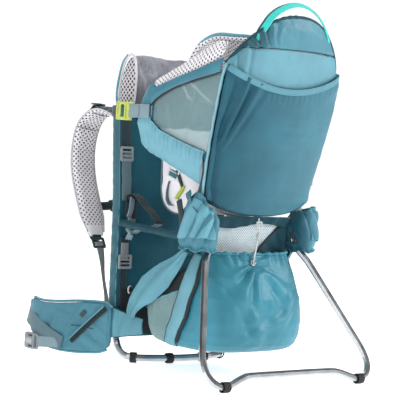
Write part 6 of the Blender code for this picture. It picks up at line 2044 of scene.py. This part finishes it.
    # grommet and its barrel; the elastic hook cord is built in build_hook
    hx, yi, yo = bag_row(23.0)
    gc = np.array([-1.8, yo + 0.55, 23.0])
    T = np.linspace(0, 2 * math.pi, 28, endpoint=False)
    ring = np.stack([gc[0] + 0.50 * np.cos(T), gc[1] - 0.15 + 0.10 * np.sin(T), gc[2] + 0.50 * np.sin(T)], 1)
    tube("bag_grommet", ring, 0.16, M["steel"], "carrier", 10, closed=True)
    ring2 = np.stack([gc[0] + 0.25 * np.cos(T), gc[1] + 0.02 + 0 * T, gc[2] + 0.25 * np.sin(T)], 1)
    tube("bag_grommet_barrel", ring2, 0.17, M["plastic_black"], "carrier", 8, closed=True)


def build_hook():
    pts = [(-1.30, -31.35, 31.8), (-1.50, -31.75, 30.4), (-1.62, -31.85, 28.9), (-1.66, -31.75, 27.4), (-1.70, -31.6, 25.9), (-1.78, -31.35, 24.4), (-1.80, -31.25, 23.55)]
    path = catmull(pts, 8)
    ob = tube("bag_hook_cord", path, 0.16, M["piping_white"], "carrier", sides=12)
    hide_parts("bag_hook")
    bead = [(-1.62, -31.95, 28.9), (-1.64, -31.95, 28.3), (-1.66, -31.9, 27.6)]
    p = catmull(bead, 6)
    r = 0.26 + 0.26 * np.sin(np.linspace(0.15, math.pi - 0.15, len(p)))
    tog = tube("bag_hook_toggle", p, r, M["plastic_pale"], "carrier", sides=16)
    hook = catmull([(-1.80, -31.5, 23.9), (-2.15, -31.6, 23.5), (-2.10, -31.5, 22.9), (-1.70, -31.45, 22.8), (-1.45, -31.5, 23.2)], 8)
    hk = tube("bag_hook_end", hook, 0.14, M["plastic_pale"], "carrier", sides=12)
    bar_ring("bag_hook_lock", (-1.45, -31.75, 30.5), (1, 0, 0), (0, 0, 1), (0.75, 0.75), (0.42, 0.42), 0.26, M["plastic_pale"], "carrier", corner=0.2)


def build_rear_panel():
    # diagonal net between the bag and the headrest, and the dark side of it
    U, V = uvgrid(90, 40)
    x = -9.6 + 19.2 * U
    z = 22.9 + 8.2 * V
    y = -26.2 - 0.5 * (1 - (x / 9.6) ** 2) + 0.25 * np.sin(x * 0.7) * np.sin(V * 3) + 0.12 * fbm(np.stack([x, z, 0 * x], -1), 0.4, 6.0)
    P = np.stack([x, y, z], -1)
    ob = grid("rear_net_panel", P, 0.12, M["grey_net"], "carrier", back_mat=M["lining"])
    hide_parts("rear_mesh_panel")
    # dark binding across and the shaded far half
    p = Curve([(1.4, -26.9, 23.2), (3.2, -27.0, 25.4), (6.2, -26.9, 28.2), (9.4, -26.6, 30.6)])(np.linspace(0, 1, 40))
    tube("rear_net_piping", p, 0.2, M["piping_black"], "carrier", sides=8)
    U, V = uvgrid(40, 26)
    x = 0.9 + 9.4 * U
    ztop = np.interp(x, [0.9, 3.2, 6.2, 10.3], [23.2, 25.6, 28.2, 31.0])
    z = 22.8 + (ztop - 22.8) * V
    P = np.stack([x, -27.0 + 0.15 * np.sin(x * 1.3 + z), z], -1)
    grid("rear_shade_panel", P, 0.16, M["dark"], "carrier")
    # folded edge of the seat cloth that shows below the headrest
    U, V = uvgrid(90, 14)
    x = -10.2 + 20.4 * U
    z = 31.9 - 1.9 * V - 0.5 * np.sin(U * 7) * V
    y = -28.4 + 1.2 * V + 0.22 * np.sin(x * 1.9)
    P = np.stack([x, y, z], -1)
    grid("headrest_under_fold", P, 0.2, M["light"], "carrier", back_mat=M["dark"])


def build_sleeves():
    for nm, s in SIDES:
        plan = Curve([(s * x, y, 0) for x, y in ((11.2, -25.9), (11.1, -29.5), (11.7, -30.9), (13.0, -31.25), (14.75, -30.8), (15.5, -29.2), (15.6, -26.4), (15.2, -24.4))])
        nu, nv = ((130, 80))
        U, V = uvgrid(nu, nv)
        c = plan(U)
        arc = U * plan.length
        zb = 25.3 + 0.25 * np.sin(arc * 1.7)
        rise = 3.4 * bell(U, 0.72, 0.20) if s < 0 else 1.2 * bell(U, 0.6, 0.25)
        zt = 33.0 + rise
        z = zb + (zt - zb) * V
        nrm = unit(np.stack([np.gradient(c[..., 1], axis=0), -np.gradient(c[..., 0], axis=0), 0 * z], -1)) * (1 if s > 0 else -1) * -1
        outw = np.stack([c[..., 0] - s * 12.5, c[..., 1] + 27.0, 0 * z], -1)
        nrm = nrm * np.sign((nrm * outw).sum(-1))[..., None]
        # long pleats that fall from the headrest's corner to the kickstand
        ph = arc * 1.15 + (z - 25.0) * 0.62
        pleat = 1.5 * np.abs(np.sin(ph * 0.55 + 0.4)) ** 0.6 - 1.0 + 0.30 * np.sin(ph * 2.1 + 0.9) - 0.5 * bell(np.sin(ph * 0.9 + 1.9), 1.0, 0.16)
        d = 0.58 * pleat * (0.35 + 0.65 * sstep(V, 0.05, 0.45))
        d += 0.14 * fbm(np.stack([c[..., 0], c[..., 1], z], -1), 0.22, 91.0)
        d += 0.16 * np.sin(arc * 5.2) * sstep(V, 0.12, 0.0)
        d -= 0.35 * bell(V, 0.05, 0.06)
        taper = -0.7 * sstep(V, 0.72, 1.0)
        P = c + 0.0
        P[..., 2] = z
        P = P + nrm * np.clip(d + taper + 0.15, -0.9, 0.62)[..., None]
        # the far sleeve takes the cloth copy that carries painted shade
        cols = [M["sleeve_near"] if s < 0 else M["sleeve_far"], M["dark"]]
        ob = grid(f"pivot_sleeve_cloth_{nm}", P if s > 0 else P[::-1], 0.26, cols[0], "carrier", back_mat=cols[1])
        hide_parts(f"pivot_sleeve_{nm}")
        tube(f"pivot_sleeve_hem_{nm}", P[:, 0], 0.22, cols[0], "carrier", sides=8)
        tube(f"pivot_sleeve_top_{nm}", P[:, -1], 0.20, cols[0], "carrier", sides=8)
        # a second layer folded over the outer corner
        sel = slice(int(nu * 0.42), int(nu * 0.98))
        Q = P[sel][:, int(nv * 0.30):int(nv * 0.92)] + nrm[sel][:, int(nv * 0.30):int(nv * 0.92)] * 0.22
        kk = np.linspace(0, 1, Q.shape[0])[:, None]
        mm = np.linspace(0, 1, Q.shape[1])[None]
        Q = Q + nrm[sel][:, int(nv * 0.30):int(nv * 0.92)] * (0.20 * np.sin(kk * 8 + mm * 5))[..., None] * 0.9
        Q[..., 2] -= 0.9 * np.sin(kk * 2.6) * (1 - mm)
        grid(f"pivot_sleeve_fold_{nm}", Q if s > 0 else Q[::-1], 0.18, M["light"] if s < 0 else M["teal"], "carrier", back_mat=M["dark"])
        # webbing that holds the sleeve to the headrest
        if s < 0:
            p = Curve([(-15.5, -26.2, 36.4), (-15.8, -27.2, 35.0), (-15.6, -28.6, 33.4), (-14.4, -30.6, 31.6)])(np.linspace(0, 1, 26))
            strap("sleeve_strap_left", p, (0.2, 1, 0.6), 1.6, 0.24, M["web_teal"], "carrier")
            p = Curve([(-15.7, -23.8, 34.6), (-15.9, -24.8, 32.4), (-15.8, -25.4, 29.6), (-15.2, -25.6, 27.0)])(np.linspace(0, 1, 26))
            strap("sleeve_black_strap_left", p, (0, 1, 0.2), 1.5, 0.22, M["web_dark"], "carrier")
        # dark sock where the rail goes into the sleeve
        p = Curve([(s * 13.88, -3.3, 28.42), (s * 13.9, -6.5, 28.22), (s * 13.9, -10, 28.0), (s * 13.9, -18, 27.6), (s * 13.9, -22.4, 27.45), (s * 13.9, -25.2, 27.4),
                   (s * 13.9, -27.2, 27.75)])(np.linspace(0, 1, 90))
        f = np.linspace(0, 1, 90)
        tube(f"rail_sock_{nm}", p, 0.74 + 0.03 * np.sin(f * 70) + 0.05 * np.sin(f * 23) + 0.16 * sstep(f, 0.72, 0.95), M["dark"], "carrier", sides=16)


# =====================================================================
# hardware carried over from the CAD
# =====================================================================
def paint_nodes():
    look = {}
    for n in ("back_frame_tube", "seat_frame_tube"):
        look[n] = "grey_tube"
    for n in ("kickstand_tube", "kickstand_knuckle_left", "kickstand_knuckle_right"):
        look[n] = "black_tube"
    for n in ("hinge_bracket_left", "hinge_bracket_right", "hinge_pin_left", "hinge_pin_right"):
        look[n] = "steel"
    for n in ("base_foot_left_inner", "base_foot_left_outer", "base_foot_right_inner", "base_foot_right_outer",
              "kickstand_foot_left", "kickstand_foot_right"):
        look[n] = "rubber"
    for n in ("back_plate",):
        look[n] = "plastic_black"
    for n in ("side_entry_buckle_left", "side_entry_buckle_right"):
        look[n] = "plastic_lime"
    look["hip_zip_slider"] = "plastic_dark"
    for name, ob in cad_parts.items():
        mat = M[look.get(name, "plastic_black")]
        ob.data.materials.clear()
        ob.data.materials.append(mat)
        for p in ob.data.polygons:
            p.material_index = 0
        if name in ("back_frame_tube", "seat_frame_tube", "kickstand_tube"):
            ob.data.shade_smooth()


def build_buckles():
    """Moulded side-entry buckles: bars, lip and webbing loop over the CAD frame."""
    for nm, s in SIDES:
        c = np.array((s * 15.25, -3.70, 51.3))
        for k, y in enumerate((-1.85, 1.95)):
            p = np.array([c + (s * 0.32, y, -1.5), c + (s * 0.40, y, 0), c + (s * 0.32, y, 1.5)])
            strap(f"side_entry_rib_{nm}_{k}", catmull(p, 4), (0, 1, 0), 0.5, 0.22, M["plastic_lime"], "carrier")
        # raised ring round the slot, wider body on the wearer's side
        bar_ring(f"side_entry_slot_ring_{nm}", c + (s * 0.42, 0.0, 0), (0, 1, 0), (0, 0, 1), (1.05, 1.75), (0.62, 1.28), 0.34, M["plastic_lime"], "carrier", corner=0.35)
        strap(f"side_entry_slot_lining_{nm}", np.array([c + (s * 0.36, 0.0, -1.15), c + (s * 0.37, 0.0, 0), c + (s * 0.36, 0.0, 1.15)]), (0, 1, 0), 1.05, 0.14, M["web_navy"], "carrier")
        strap(f"side_entry_anchor_{nm}", np.array([c + (-s * 0.1, 1.6, 0), c + (-s * 0.35, 3.0, 0), c + (-s * 0.75, 4.6, -0.1), c + (-s * 1.0, 5.2, -0.2)]), (0, 0, 1), 2.2, 0.24, M["web_dark"], "carrier")


build_stage()
paint_nodes()
build_headrest()
build_handle()
build_wing_left()
build_wing_right()
build_back()
build_back_pads()
build_front_pad()
build_harness()
build_hips()
build_seat()
build_bag()
build_hook()
build_rear_panel()
build_sleeves()
build_buckles()
build_stitches()
